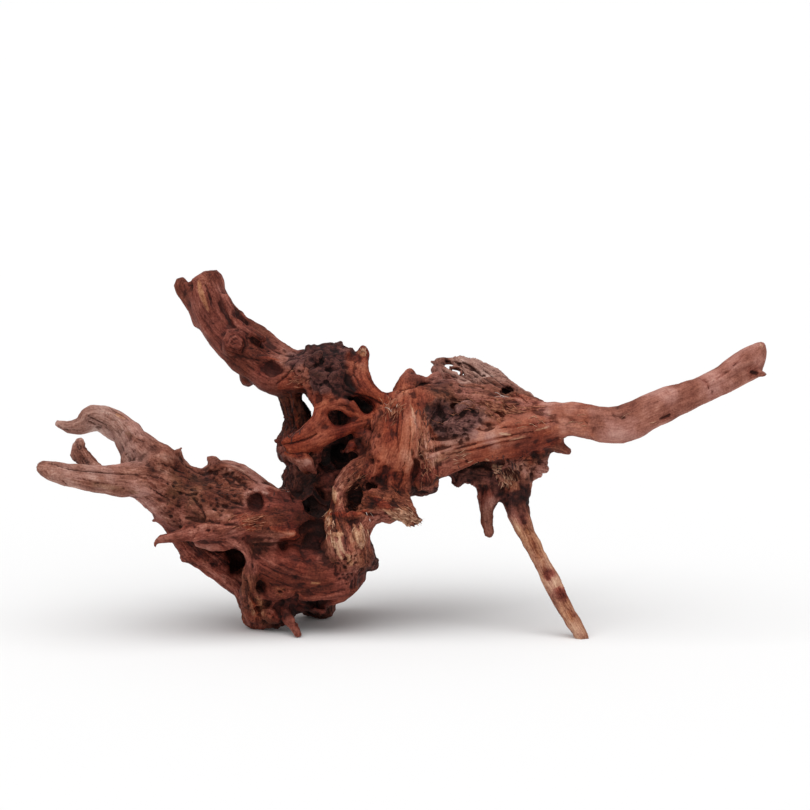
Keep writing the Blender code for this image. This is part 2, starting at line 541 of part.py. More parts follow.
def carve(root, cutters):
    """Cuts the hollows and caves into the root."""
    for name, (height, stations) in HOLLOWS.items():
        shell = bmesh.new()
        loft(shell, stations, height, 0.0)
        cutter = as_object(shell, name, cutters)
        cutter.hide_render = True
        cutter.display_type = "WIRE"
        cut = root.modifiers.new(name, "BOOLEAN")
        cut.operation = "DIFFERENCE"
        cut.solver = "EXACT"
        cut.object = cutter
    settle(root)
    keep_largest(root)


def weather(root):
    """Raises lumps and low ridges all over the skin, and knobbly bark where some is left."""
    mesh = root.data
    patches = [(seen(*patch[:3]), patch[3] * MM) for patch in BARK]
    normals = [vert.normal.copy() for vert in mesh.vertices]
    for vert, normal in zip(mesh.vertices, normals):
        lump = noise.noise(vert.co / (LUMP_SIZE * MM)) * LUMP_HEIGHT
        ridge = (RIDGE_LEVEL - 2 * abs(noise.noise(vert.co / (RIDGE_SIZE * MM)))) * RIDGE_HEIGHT
        cover = sum(max(0.0, 1 - (vert.co - place).length / reach) for place, reach in patches)
        knob = 2 * abs(noise.noise(vert.co / (BARK_SIZE * MM) + BARK_OFFSET))
        bark = (BARK_LEVEL - knob) * BARK_HEIGHT * min(1.0, BARK_EDGE * cover)
        vert.co += normal * (SWELL + lump + ridge + bark) * MM


def thin_out(root):
    """Brings the skin down to the face count that the solid keeps."""
    decimate = root.modifiers.new("Fewer faces", "DECIMATE")
    decimate.ratio = FACE_COUNT / sum(len(face.vertices) - 2 for face in root.data.polygons)
    settle(root)


def flatten_feet(root):
    """Cuts the leg's tip and the knobs level, so that the root stands on small flats."""
    shell = bmesh.new()
    shell.from_mesh(root.data)
    bmesh.ops.triangulate(shell, faces=shell.faces)
    everything = list(shell.verts) + list(shell.edges) + list(shell.faces)
    bmesh.ops.bisect_plane(
        shell, geom=everything, plane_co=(0, 0, 0), plane_no=(0, 0, -1), clear_outer=True
    )
    rims = [edge for edge in shell.edges if edge.is_boundary]
    bmesh.ops.holes_fill(shell, edges=rims, sides=0)
    bmesh.ops.triangulate(shell, faces=[face for face in shell.faces if len(face.verts) > 3])
    bmesh.ops.recalc_face_normals(shell, faces=shell.faces)
    shell.to_mesh(root.data)
    shell.free()


def driftwood():
    """Dark reddish brown, water-worn wood."""
    wood = bpy.data.materials.new("driftwood")
    wood.use_nodes = True
    surface = wood.node_tree.nodes["Principled BSDF"]
    surface.inputs["Base Color"].default_value = WOOD_COLOUR
    surface.inputs["Roughness"].default_value = WOOD_ROUGHNESS
    surface.inputs["Metallic"].default_value = 0.0
    return wood


def main():
    for leftover in list(bpy.data.objects):
        bpy.data.objects.remove(leftover)
    parts = bpy.data.collections.new("Driftwood root")
    cutters = bpy.data.collections.new("Cutters")
    for collection in (parts, cutters):
        bpy.context.scene.collection.children.link(collection)
    root = limbs(parts)
    fuse(root, FUSE_VOXEL)
    carve(root, cutters)
    fuse(root, CARVED_VOXEL)
    weather(root)
    thin_out(root)
    flatten_feet(root)
    root.data.materials.clear()
    root.data.materials.append(driftwood())
    root.data.shade_smooth()


main()
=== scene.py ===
"""Looks of a driftwood root: the fine skin of the wood, its splinters and fibres, and the studio around it.

Metres and +Z up, as in the frame. Places on the root are given as they are seen from the front, in
millimetres: how far across, how far up, and how far back behind the view plane.
"""

import itertools
import math
import random

import bmesh
import bpy
import numpy as np
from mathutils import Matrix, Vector
from mathutils.bvhtree import BVHTree
from mathutils.kdtree import KDTree


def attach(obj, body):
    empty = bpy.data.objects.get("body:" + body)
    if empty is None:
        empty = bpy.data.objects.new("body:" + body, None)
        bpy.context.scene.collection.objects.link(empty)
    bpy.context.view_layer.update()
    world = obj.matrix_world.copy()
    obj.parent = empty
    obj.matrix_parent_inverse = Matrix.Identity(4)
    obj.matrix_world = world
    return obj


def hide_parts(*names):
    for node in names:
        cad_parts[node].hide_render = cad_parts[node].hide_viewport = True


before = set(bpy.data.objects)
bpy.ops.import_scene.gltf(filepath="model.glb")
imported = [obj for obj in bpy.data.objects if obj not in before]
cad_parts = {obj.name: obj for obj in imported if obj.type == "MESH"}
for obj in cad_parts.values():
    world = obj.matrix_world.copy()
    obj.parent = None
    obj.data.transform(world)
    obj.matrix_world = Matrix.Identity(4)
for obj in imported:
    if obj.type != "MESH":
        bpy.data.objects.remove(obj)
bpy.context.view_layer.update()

MM = 0.001

# The front view that the places on the root are given in
VIEW_TILT = math.radians(8)
VIEW_DISTANCE = 2000.0
VIEW_ACROSS = 3.0
VIEW_UP = 139.8
VIEW_WIDTH = 486.0
LAYOUT_SHIFT = Vector((-4.3, -61.6, 0))
RIGHT = Vector((1, 0, 0))
LIFT = Vector((0, math.sin(VIEW_TILT), math.cos(VIEW_TILT)))
AWAY = Vector((0, math.cos(VIEW_TILT), -math.sin(VIEW_TILT)))
EYE = RIGHT * VIEW_ACROSS + LIFT * VIEW_UP - AWAY * VIEW_DISTANCE + LAYOUT_SHIFT

# How finely the skin is made: its cells, its faces, and the steps along limbs, fine forms, cracks and fibres
SKIN_VOXEL = 0.9
SKIN_TRIANGLES = 196000
LINE_STEP = 3.0
FORM_STEP = 1.5
WANDER_STEP = 1.2
HAIR_STEP = 1.1
SEED = 23

# How far each limb's grain is shifted in the noise that draws it, so that no two limbs look alike
LIMB_SHIFT = 31.7

# The ridges and splits along the grain: how long and how wide each is
CORDS = (42, 6.4, 6.4)
CRESTS = (30, 4.2, 4.2)
STRANDS = (13, 1.9, 1.9)
SPLITS = (52, 8.5, 8.5)

# How many marks of each kind are strewn over the whole root, and how many places are tried for each fibre,
# because some miss the wood
WILD_MARKS = {"crack": 130, "fibre": 130, "pit": 200}
TRIES = 6

# Paints that only darken or lighten the wood, and how strongly marks are painted: less where they are plain
# dark or light, so that they don't look drawn
SHADES = ("dark", "light", "shade")
SOFT_MARK = 0.42
FULL_MARK = 0.75

# Which way the grain runs: for each limb its finish, which is the shares of bark, peeled, grey and pale wood
# and how dark it is, how deep its relief is, and a line through its heart of (across, up, back, radius)
GRAIN_LINES = {
    "lower_finger": ((0.0, 0.05, 0.3, 0.12, 0.04), 0.5, [
        (-218, 102, -27, 5), (-200, 98, -24, 7.6), (-180, 95, -20, 8.4), (-157, 94, -9, 12),
        (-136, 87, 0, 15), (-112, 79, 6, 17.5), (-90, 75, 8, 18), (-66, 71, 12, 18)]),
    "upper_finger": ((0.0, 0.0, 0.5, 0.1, 0.15), 0.5, [
        (-212, 130, 22, 1.6), (-201, 127.1, 21, 3), (-190, 127.4, 19, 5), (-181, 132.6, 17, 7.2),
        (-167, 126, 14, 8), (-155, 111, 6, 12), (-138, 98, 6, 12), (-120, 91.4, 8, 10),
        (-104, 95, 12, 11), (-88, 86, 15, 10.5), (-70, 77, 22, 10.6)]),
    "nub": ((0.0, 0.1, 0.5, 0.0, 0.3), 0.6, [
        (-193.6, 119, -4, 2.3), (-191.4, 110.2, -5, 5.4), (-182.6, 99, -12, 5.2)]),
    "body_back": ((0.2, 0.0, 0.25, 0.0, 0.5), 0.75, [
        (-150, 100, 18, 10), (-132, 88, 26, 13), (-92, 76, 40, 17), (-70, 72, 44, 18)]),
    "lower_edge": ((0.1, 0.15, 0.05, 0.0, 0.6), 0.8, [
        (-138, 76, 0, 8), (-126, 57.6, 5, 7), (-112, 45.6, 11, 8), (-97, 34.8, 17, 8),
        (-89.1, 18, 23, 7), (-87, 8, 26, 6.6)]),
    "lower_edge_back": ((0.2, 0.0, 0.2, 0.0, 0.5), 1.0, [
        (-128, 66, 16, 8), (-102, 48, 32, 13), (-78, 30, 34, 13)]),
    "side_spike": ((0.0, 0.25, 0.1, 0.0, 0.5), 0.6, [
        (-148, 58.4, -20, 2), (-131, 61.5, -18, 3.9), (-114, 64.6, -16, 6), (-94, 69, -12, 7.5),
        (-73, 71, -5, 8.5), (-52, 74, 8, 9)]),
    "hollow_rim": ((0.1, 0.2, 0.0, 0.0, 0.5), 0.8, [
        (-104, 60.5, -11, 4), (-92.8, 51, -10, 4.2), (-90.4, 37, -6, 4.6), (-87.5, 12, 20, 5.8)]),
    "lower_mass": ((0.0, 0.3, 0.05, 0.0, 0.7), 0.34, [
        (-96, 60, 2, 12), (-80, 46, 4, 13), (-64, 38, 6, 16), (-48, 36, 8, 16), (-28, 40, 12, 12)]),
    "lower_mass_back": ((0.4, 0.0, 0.1, 0.0, 0.5), 0.8, [
        (-92, 56, 30, 18), (-74, 50, 38, 20), (-54, 50, 42, 20), (-34, 56, 42, 17)]),
    "left_foot": ((0.2, 0.4, 0.0, 0.15, 0.35), 1.1, [
        (-78, 34, 20, 12), (-84, 20, 23, 9.4), (-87, 4, 27, 7.6)]),
    "toe": ((0.5, 0.1, 0.0, 0.0, 0.45), 1.0, [(-78, 30, 20, 9), (-74, 4, 26, 7)]),
    "rear_foot": ((0.5, 0.0, 0.1, 0.0, 0.4), 1.0, [(-60, 34, 36, 13), (-53, 24, 53, 11), (-49, 12, 66, 10)]),
    "hanging_twig": ((0.2, 0.3, 0.0, 0.0, 0.5), 0.5, [
        (-70, 18, 14, 3.9), (-64, 7.2, 5.5, 3), (-61, 2, 2, 2.4)]),
    "lower_plate": ((0.75, 0.0, 0.0, 0.0, 0.35), 1.1, [
        (-56, 50, 14, 13), (-38, 49, 10, 14), (-18, 47, 10, 9)]),
    "plate_rim": ((0.4, 0.2, 0.0, 0.2, 0.35), 0.8, [
        (-54, 22.5, 10, 2), (-42, 24.5, 6, 2.6), (-27, 31, 8, 3)]),
    "column": ((0.1, 0.4, 0.0, 0.25, 0.35), 1.0, [
        (-8, 110, 15, 9), (-21, 102, 12, 8.5), (-35.6, 88, 8, 7), (-37, 74, 4, 8),
        (-34, 58, 0, 11), (-33, 40, 7, 10)]),
    "column_right": ((0.15, 0.35, 0.0, 0.2, 0.35), 1.0, [
        (-8, 83, 12, 8), (-18, 74, 6, 7.2), (-25, 62, 1, 8), (-23, 45, 5, 8.7)]),
    "lower_bracket": ((0.1, 0.4, 0.0, 0.25, 0.3), 1.0, [
        (-26, 84, 10, 8.5), (-10, 80.5, 4, 9.5), (0.4, 78.5, 0, 7.6), (14, 70, -2, 3)]),
    "under_lobe": ((0.7, 0.1, 0.0, 0.0, 0.4), 1.2, [(-20, 93, 14, 9), (0, 95, 16, 10), (22.2, 89.8, 17, 4)]),
    "wall": ((0.0, 0.95, 0.0, 0.0, 0.15), 0.5, [
        (6.4, 164, 33, 4), (5, 150, 28, 9), (3, 136, 17, 13), (3, 120, 13, 15), (-2, 101, 16, 13)]),
    "wall_edge": ((0.1, 0.6, 0.0, 0.2, 0.2), 0.9, [
        (10, 150, 20, 4), (12, 134, 10, 5), (15.5, 116, 4, 5), (16, 95, 10, 7)]),
    "wall_left": ((0.3, 0.5, 0.0, 0.0, 0.4), 0.9, [(-9, 138, 20, 6), (-8.5, 124, 12, 8), (-16, 100, 12, 9)]),
    "core": ((0.6, 0.1, 0.0, 0.0, 0.55), 1.1, [
        (-60, 72, 36, 17), (-54, 92, 44, 15), (-36, 100, 46, 19), (0, 108, 44, 24), (34, 121, 38, 20),
        (66, 121, 28, 17)]),
    "core_high": ((0.7, 0.0, 0.0, 0.0, 0.55), 1.1, [
        (-40, 108, 48, 12), (-36, 126, 48, 11.5), (-38, 146, 42, 13)]),
    "arm_main": ((0.0, 0.05, 0.25, 0.0, 0.7), 0.36, [
        (-120, 218, 60, 11), (-115.6, 203, 59, 12.2), (-107, 185.5, 54, 12.1), (-91.4, 171, 47, 12.4),
        (-73, 159, 40, 12.4), (-52, 160, 33, 11)]),
    "left_lobe": ((0.0, 0.05, 0.25, 0.0, 0.6), 0.45, [
        (-131, 217, 60, 4.6), (-128.8, 208.4, 60, 5.4), (-115, 192, 57, 9)]),
    "right_ridge": ((0.0, 0.0, 0.4, 0.0, 0.5), 0.6, [
        (-106, 203, 66, 4), (-94, 188.2, 60, 4.6), (-76, 175.8, 51, 5), (-58, 166, 38, 6)]),
    "arm_strut": ((0.4, 0.15, 0.0, 0.0, 0.6), 0.9, [
        (-68, 155, 40, 7.6), (-62.4, 134.5, 44, 7.4), (-62.8, 118, 46, 11), (-58.8, 104, 44, 9.2),
        (-60, 86, 38, 12)]),
    "crown": ((0.85, 0.1, 0.0, 0.0, 0.3), 0.75, [
        (-66, 164, 34, 11), (-47, 161.6, 33, 15), (-31, 159, 32, 12), (-27, 154, 34, 10)]),
    "crown_peg": ((0.0, 0.9, 0.0, 0.05, 0.6), 0.5, [
        (-21.6, 177, 30, 3), (-22.6, 163, 27, 5), (-22.8, 153.5, 24, 6), (-10, 140, 22, 6.2),
        (2, 138, 22, 9)]),
    "peg_side": ((0.1, 0.85, 0.0, 0.0, 0.6), 0.5, [
        (-30, 168, 26, 3.4), (-31, 157, 22, 4), (-20, 145, 20, 5)]),
    "web_upper": ((0.0, 0.8, 0.0, 0.0, 0.5), 0.38, [
        (-74, 116.4, 3, 1.9), (-61, 120.6, 6, 3.2), (-49.4, 129, 12, 4.6), (-47, 140, 18, 5),
        (-51.6, 150.2, 25, 4.4), (-70, 159, 36, 6)]),
    "web_top": ((0.0, 0.85, 0.0, 0.0, 0.5), 0.38, [
        (-47, 138, 15, 4.5), (-34, 142, 12, 3.6), (-12, 132, 18, 4)]),
    "web_lower": ((0.0, 0.85, 0.0, 0.0, 0.5), 0.38, [
        (-71, 113.4, 5, 1.7), (-57, 115, 8, 3.8), (-39, 123.2, 12, 4.4), (-13, 130, 20, 5)]),
    "web_flake": ((0.1, 0.3, 0.2, 0.1, 0.4), 0.8, [(-62, 112, 11, 3), (-57, 105, 14, 4.2), (-53, 97, 19, 3)]),
    "long_arm": ((0.0, 0.12, 0.1, 0.0, 0.06), 0.16, [
        (222, 183, 37, 3), (213, 170, 33, 6.5), (199, 158.6, 26, 7.4), (180, 148.8, 18, 7.4),
        (151, 136.8, 7, 9.6), (133, 128.8, 5.5, 10), (114, 130, 10, 8.9), (94, 130.8, 17, 9.8),
        (78, 127, 20, 12), (60, 122, 10, 11), (34, 115, 12, 8)]),
    "root_low": ((0.0, 0.75, 0.05, 0.05, 0.42), 0.5, [
        (86, 122.5, 18, 8), (58, 115.5, 11, 9), (34, 110, 10, 7), (15, 103, 12, 6)]),
    "root_top": ((0.3, 0.25, 0.05, 0.2, 0.25), 1.0, [
        (86, 133, 22, 9), (70, 134, 24, 12), (48, 136, 24, 15), (20, 140, 26, 12)]),
    "burl": ((0.85, 0.0, 0.1, 0.0, -0.25), 1.2, [(17, 132, 12, 7), (34, 129, 10, 10), (52, 126, 12, 9)]),
    "back_arm_root": ((0.4, 0.0, 0.15, 0.0, 0.4), 1.0, [
        (76, 126, 40, 9), (48, 120, 50, 11), (4, 104, 58, 13)]),
    "stump_base": ((0.3, 0.05, 0.5, 0.0, 0.3), 0.9, [(80, 137, 36, 7), (60, 146, 43, 8), (40, 148, 44, 7)]),
    "slat_top": ((0.0, 0.0, 1.0, 0.15, 0.1), 0.6, [
        (44, 168, 63, 2.1), (60, 155.4, 56, 3), (84, 138, 38, 4)]),
    "slat_second": ((0.0, 0.0, 1.0, 0.15, 0.1), 0.8, [
        (32, 170, 66, 2.4), (43, 163, 62, 4.6), (68, 147, 49, 5)]),
    "slat_fourth": ((0.3, 0.0, 0.7, 0.1, 0.2), 0.8, [
        (18, 163, 57, 3), (34, 156.6, 53, 3), (50, 149.6, 48, 4)]),
    "slat_upright": ((0.4, 0.0, 0.5, 0.0, 0.25), 0.7, [
        (22, 166, 55, 3), (22, 157, 46, 3.2), (22.6, 150, 35, 3.2)]),
    "corner": ((0.35, 0.25, 0.1, 0.15, 0.15), 1.2, [
        (60, 108, 28, 12), (72, 106.5, 28, 11.5), (86, 104, 28, 6)]),
    "belly": ((0.55, 0.15, 0.0, 0.1, 0.35), 1.1, [(18, 107, 24, 8), (43, 103.4, 28, 11), (64, 99, 28, 12)]),
    "long_leg": ((0.0, 0.15, 0.15, 0.55, 0.2), 0.45, [
        (70, 102, 26, 9.5), (70, 86, 21, 7), (70, 76, 17, 5.8), (78, 58, 12, 4.8), (89.3, 36, 7, 5),
        (105.5, 7, 1, 4.5), (114, -6, -1, 4.3)]),
    "short_leg": ((0.3, 0.05, 0.45, 0.15, 0.35), 0.6, [
        (54, 96, 26, 7.4), (52, 78, 22, 4.4), (55, 56, 19, 3.4)]),
    "stub_twig": ((0.2, 0.2, 0.2, 0.1, 0.35), 0.6, [
        (84, 121, 22, 6), (96, 114.8, 21, 4), (104, 110, 20, 2.9)]),
    "back_root": ((0.2, 0.0, 0.35, 0.0, 0.35), 0.6, [
        (-6, 101, 58, 17), (8, 108, 80, 13), (24, 116, 100, 9.5), (46, 125, 128, 4)]),
    "back_fork": ((0.2, 0.0, 0.35, 0.0, 0.35), 0.7, [(22, 112, 94, 7), (14, 124, 110, 5), (11, 133, 122, 3)]),
    "back_brace": ((0.3, 0.0, 0.25, 0.0, 0.45), 0.72, [
        (-24, 100, 58, 16), (-30, 74, 68, 12), (-46, 38, 74, 9), (-50, 16, 64, 9)]),
    "back_stub": ((0.2, 0.0, 0.5, 0.05, 0.35), 0.6, [
        (-80, 70, 42, 14), (-100, 74, 56, 10), (-126, 81, 80, 5)]),
    "back_flank": ((0.4, 0.0, 0.25, 0.0, 0.5), 0.72, [
        (-84, 54, 46, 14), (-60, 62, 56, 14), (-32, 76, 60, 14)]),
    "back_ridge": ((0.5, 0.0, 0.15, 0.0, 0.5), 1.0, [
        (-44, 150, 52, 8), (-34, 132, 62, 9), (-20, 116, 66, 10), (-6, 98, 64, 10)]),
}

# Forms that are finer than the solid's, each a line through its heart of (across, up, back, radius)
FINE_FORMS = {
    "cleft_floor": [(-66, 60, 8.6, 9), (-58, 56, 10, 9), (-49, 54, 13, 9)],
    "middle_floor": [(-91, 81, 5.4, 7.8), (-81, 81.6, 5.4, 7.8)],
    "arm_floor": [(-83, 161.6, 40.4, 7.8), (-71, 159.6, 37.4, 7.8)],
    "burl_floor": [(24, 143, 13, 5.8), (24.6, 129, 11, 5.8)],
    "slot_floor": [(13, 117, 5, 5), (21, 116.5, 7, 5.6), (30, 118, 8, 6), (40, 119, 8, 6)],
    "leg_floor": [(68, 91, 18.6, 5.2), (68, 78, 17, 4.8)],
    "stump_floor": [(60, 147, 47, 5.6), (66, 147, 47, 5.6)],
    "side_floor": [(-54, 88, 12, 6), (-46, 79, 12, 6)],
    "web_fill": [(-30, 139, 16, 3.2), (-28, 133.4, 17, 4), (-30, 127.6, 17, 3.4)],
    "spike_end": [(-90, 67, -9, 5), (-74, 64.4, -8, 5.4), (-63, 62, -4, 4)],
    "ridge_peak": [(2, 152, 26, 5), (8, 154.4, 28, 4.4), (15.5, 153, 29, 4), (20, 151.4, 29, 3.4)],
    "ridge_end": [(18, 151.6, 28, 3.2), (25, 151.6, 27, 3.6), (34, 149.6, 24, 5)],
    "left_thorn": [
        (-135, 107, 1, 3.4), (-134.4, 110.4, 0, 2.1), (-132.8, 112.4, -1, 1.3), (-131, 114, -1.4, 0.7)],
    "left_thorn_tooth": [(-134, 108.6, 0, 2), (-136.2, 111.4, 0, 1.1), (-136.6, 112.8, 0, 0.6)],
    "right_thorn": [(-103, 100.6, 8, 3.6), (-109, 103, 8, 3), (-113.4, 105.6, 8, 2), (-115.6, 108.6, 8, 0.9)],
    "nub_head": [(-192.4, 118.8, -5, 2.7), (-191.4, 115.6, -5, 2.9)],
    "nub_side": [(-191, 112, -6, 2), (-195, 110.8, -6.6, 1.7), (-196.8, 109.6, -6.8, 1)],
    "flake": [(-69, 111.4, 7, 1.6), (-63, 108.6, 8.6, 4.4), (-57, 105.4, 10.6, 5.2), (-50.6, 98.6, 16, 1.6)],
    "peg_face": [(-34, 162.6, 24, 3), (-28.6, 158, 22, 5), (-24, 150, 20, 5)],
    "low_left_lump": [(-80, 16, 12, 5), (-73, 12, 14, 4.6)],
    "foot_lump": [(-90, 24, 14, 4.4), (-86, 15, 16, 4.6)],
    "hollow_lump": [(-107, 50, 8, 4.4), (-104, 44, 8, 4.6)],
    "body_knob": [(-109, 96, -1, 2.6), (-104, 91, -6, 2.4)],
    "body_shelf": [(-126, 78, -14, 2), (-112, 74, -15, 2.8), (-98, 73, -13, 3)],
    "burl_knob": [(34, 137, 2, 4), (42, 139, 2, 4.4)],
    "burl_knob_low": [(28, 128, 2, 3.2), (36, 127, 0, 3.6)],
    "burl_knob_right": [(50, 134, 2, 4), (58, 131, 2, 3.4)],
    "cleft_tongue": [(-77, 62, -5, 5), (-68, 62, -2.4, 5.4), (-60.6, 60.4, 2.4, 3.6)],
    "cleft_slope": [(-65, 49, -2, 6), (-58, 47.4, 0.6, 6.4), (-50, 45, 0.6, 6)],
    "cleft_slope_inner": [(-63, 55, 5, 5), (-57, 51.4, 7, 5)],
    "body_lip_fill": [(-113, 97, 5, 4), (-104, 96.4, 4, 4.6), (-94, 91, 3, 4.4)],
    "plate_face": [(-61, 29.4, 4, 3.4), (-46, 30, 1.2, 3.8), (-32, 33, 2, 3.6)],
    "twig_end": [(-66.4, 12, 10, 2.8), (-62.8, 5.8, 4.4, 2.6), (-61, 2, 0.8, 2.3)],
    "cleft_top": [(-60, 66, 8.4, 7), (-51, 66, 8.8, 7), (-45, 62, 7, 6)],
    "window_corner": [(-45, 131.4, 12, 3.2), (-42.6, 129, 12, 3), (-40, 127.6, 12.4, 2.4)],
    "window_brow": [(-41, 138.4, 12.4, 3), (-35.4, 137.4, 12.6, 3), (-31, 134.6, 14, 3.2)],
    "cleft_side": [(-75, 57, 3, 4), (-66, 56, 4, 5)],
    "window_sill": [(-42, 127.6, 12, 2.2), (-37, 127, 12.6, 2.6), (-31, 127.8, 13.4, 2.2)],
    "window_lip": [(-42, 138.2, 13, 2), (-36, 138.6, 13, 2.4), (-30, 137, 14, 2)],
    "web_joint": [(-40, 146, 14, 4), (-33, 147.6, 15, 4.6), (-27, 146, 18, 3)],
    "web_fold": [(-25, 124, 17, 4.6), (-18.6, 118, 15, 5.4), (-17, 110, 14, 5)],
    "end_barb": [(205, 160, 29, 3.2), (213, 159.6, 29, 2.8), (217.4, 158.4, 29, 1.9), (219.4, 158.2, 29, 1)],
    "column_ledge": [(-42, 73.4, 0, 2), (-34, 72.4, -5, 2.6), (-26, 73, -4, 2.6), (-20, 75, -2, 2)],
    "column_knob": [(-41, 60, -6, 3), (-37.6, 54.6, -9, 3.2)],
    "column_knob_right": [(-26, 64, -8, 3), (-23.6, 57, -7.4, 3)],
    "middle_rim": [(-91.4, 77.4, -5, 3.2), (-88.6, 76.2, -5, 2.6)],
    "middle_rim_top": [(-81.6, 86.2, -4.6, 3), (-80.2, 82.6, -4.6, 2.6)],
    "gap_floor": [(-30, 87, 10.4, 5), (-22, 84, 8.4, 5)],
    "passage_lump": [(-35, 111, 22, 4.6), (-30, 115, 14.4, 4.2), (-25, 113, 17, 4)],
    "fan_high": [(14, 122, 8, 4.4), (21, 122.5, 9, 5), (28, 122, 9, 5)],
    "fan_low": [(15, 103, 5, 4.4), (23, 109, 5.4, 5.4), (34, 114, 6.4, 6)],
    "crown_knob": [(-54, 166, 18, 4.4), (-49, 168, 16.6, 4.6)],
    "crown_knob_right": [(-43, 165.4, 15, 4.8), (-38, 163.4, 15, 4.4)],
    "crown_knob_middle": [(-51, 158.4, 13, 4.8), (-46, 157, 12, 4.4)],
    "crown_knob_low": [(-40, 155, 11.6, 4.6), (-36.4, 150.4, 12, 4.2)],
    "crown_knob_lowest": [(-45.6, 149.6, 11.6, 3.8), (-41, 146.6, 12.6, 3.4)],
    "knot_heart": [(-97.8, 176.6, 31, 3), (-96.2, 173.8, 31, 2.6)],
    "spike_hook": [(-144, 58.4, -20, 2), (-146.6, 57, -20.6, 1.3), (-146.8, 54.2, -20.6, 0.7)],
    "thorn_below_wall": [(20, 96, 14, 3.6), (22, 91.6, 14, 2.1), (23.4, 88.6, 14, 0.9)],
    "thorn_below_belly": [(37, 98, 20, 4), (35.4, 93.6, 19, 2.4), (34, 90.4, 18, 0.9)],
    "thorn_by_leg": [(48, 99, 20, 3.6), (45.4, 93.8, 18, 2), (44.2, 91, 17, 0.9)],
    "knob_right": [(82, 104, 24, 4.4), (87, 101.8, 21, 2.5), (89, 101, 20, 1.5)],
    "knob_right_low": [(79, 100, 25, 4), (82.8, 97.2, 23, 2), (84.6, 97.6, 22, 1)],
    "root_sweep": [(11, 92, 7, 4.6), (17, 97, 7, 6), (27, 104, 7.4, 6.6), (41, 110, 8, 7)],
    "plate_edge": [(-60, 24.4, 2.4, 2.2), (-45, 24.8, 0.2, 2.6), (-31, 28, 1.4, 2)],
    "plate_spike": [(-35, 28, 7, 2.4), (-29, 25.6, 6, 1)],
    "low_lump": [(-52, 19.6, 12, 4.6), (-45.6, 16.6, 12, 4)],
    "arm_fold": [
        (-105, 205, 50, 2.4), (-101.6, 195, 46.6, 3.4), (-97.4, 187.8, 41.6, 3.5), (-90, 183.4, 38, 3.4),
        (-82, 178.8, 35, 2.8)],
    "arm_knot": [(-99.8, 177.6, 39.4, 9.2), (-97.2, 175, 38.8, 8.8)],
    "arm_bead": [(-89, 158, 44, 2.2), (-92, 155.6, 43, 1.3), (-93.6, 153.4, 43, 2)],
    "strut_tooth": [(-65, 134, 43, 2.6), (-69.4, 132.4, 42, 1)],
    "strut_tooth_low": [(-65, 127.4, 44, 3), (-70.6, 125, 43, 1.2)],
    "strut_tooth_lowest": [(-69, 119, 42, 3.4), (-75, 118, 40, 1.4)],
    "core_tooth": [(-65, 91.6, 35, 3), (-70, 93, 34, 1.2)],
    "slat_thin": [(33, 169, 62, 1), (40, 165.2, 60, 1.6), (52, 158, 55, 2), (67, 148.6, 48, 2.6)],
    "slat_low": [(19, 166, 57, 1.4), (30, 159.6, 53, 1.9), (42, 154, 50, 2.4), (55, 147.4, 44, 3)],
    "slat_between": [(30, 162.4, 57, 1.3), (38, 160.4, 56, 2), (48, 155.8, 53, 2.6)],
    "rootlet_upright": [(36.6, 166, 57, 0.7), (37, 158, 51, 0.8), (36, 149, 43, 1)],
    "wall_rib": [(-4, 142, 8, 2.4), (-7, 128, 8.4, 2.4), (-11, 112, 9, 2.6), (-12, 100, 9, 2.4)],
    "wall_rib_right": [
        (7, 146, 17, 1.6), (10.6, 136, 8.4, 1.9), (10.8, 125, 6.6, 1.4), (14, 114, 4, 2.1),
        (12.4, 104, 6, 1.8)],
    "bracket_tip": [(2, 73, -4, 3), (9, 70.6, -3.6, 1.7), (13.6, 70.6, -3, 0.8)],
    "bracket_tip_low": [(0, 72, -4, 2.6), (6, 69, -4, 1.4), (8.6, 66.4, -4, 0.6)],
    "body_lip": [(-113, 101, 4, 2.6), (-106, 102.4, 3, 2.6), (-98, 98, 2, 2.6), (-88, 91.4, 2, 2.4)],
    "edge_thorn": [(-143, 73.6, 2, 3), (-147, 70.6, 1, 1.4), (-148.6, 70.4, 1, 0.7)],
}

# Where water has worn the rims of the hollows round: (across, up, back) and how far about it
WORN_RIMS = [
    ((-86.4, 81.2, -5), 11), ((-53, 58.5, 2), 14), ((-70, 55.5, 0), 10), ((-100, 46, 0), 14),
    ((-77, 162.4, 34), 12), ((-36.5, 111.5, 20), 14), ((-50.4, 83.4, 8), 11), ((-26.5, 85.5, 4), 9),
    ((63.4, 147, 38), 8), ((24.4, 135.6, 8), 11), ((25, 118, 6), 12), ((68, 84.5, 16), 8),
    ((-21, 139.4, 18), 8), ((-127, 215, 58), 6),
]

# Spongy places, full of small pits: (across, up, back), how far about it, and how many
SPONGY = [
    ((-28, 41, -6), 11, 46), ((-124, 84, -14), 22, 50), ((-106, 90, -6), 16, 40), ((-80, 20, 12), 14, 24),
    ((-58, 17, 12), 14, 24), ((-20, 96, 4), 14, 26), ((38, 132, 0), 16, 34), ((66, 98, 16), 14, 34),
    ((-46, 158, 18), 16, 30),
]

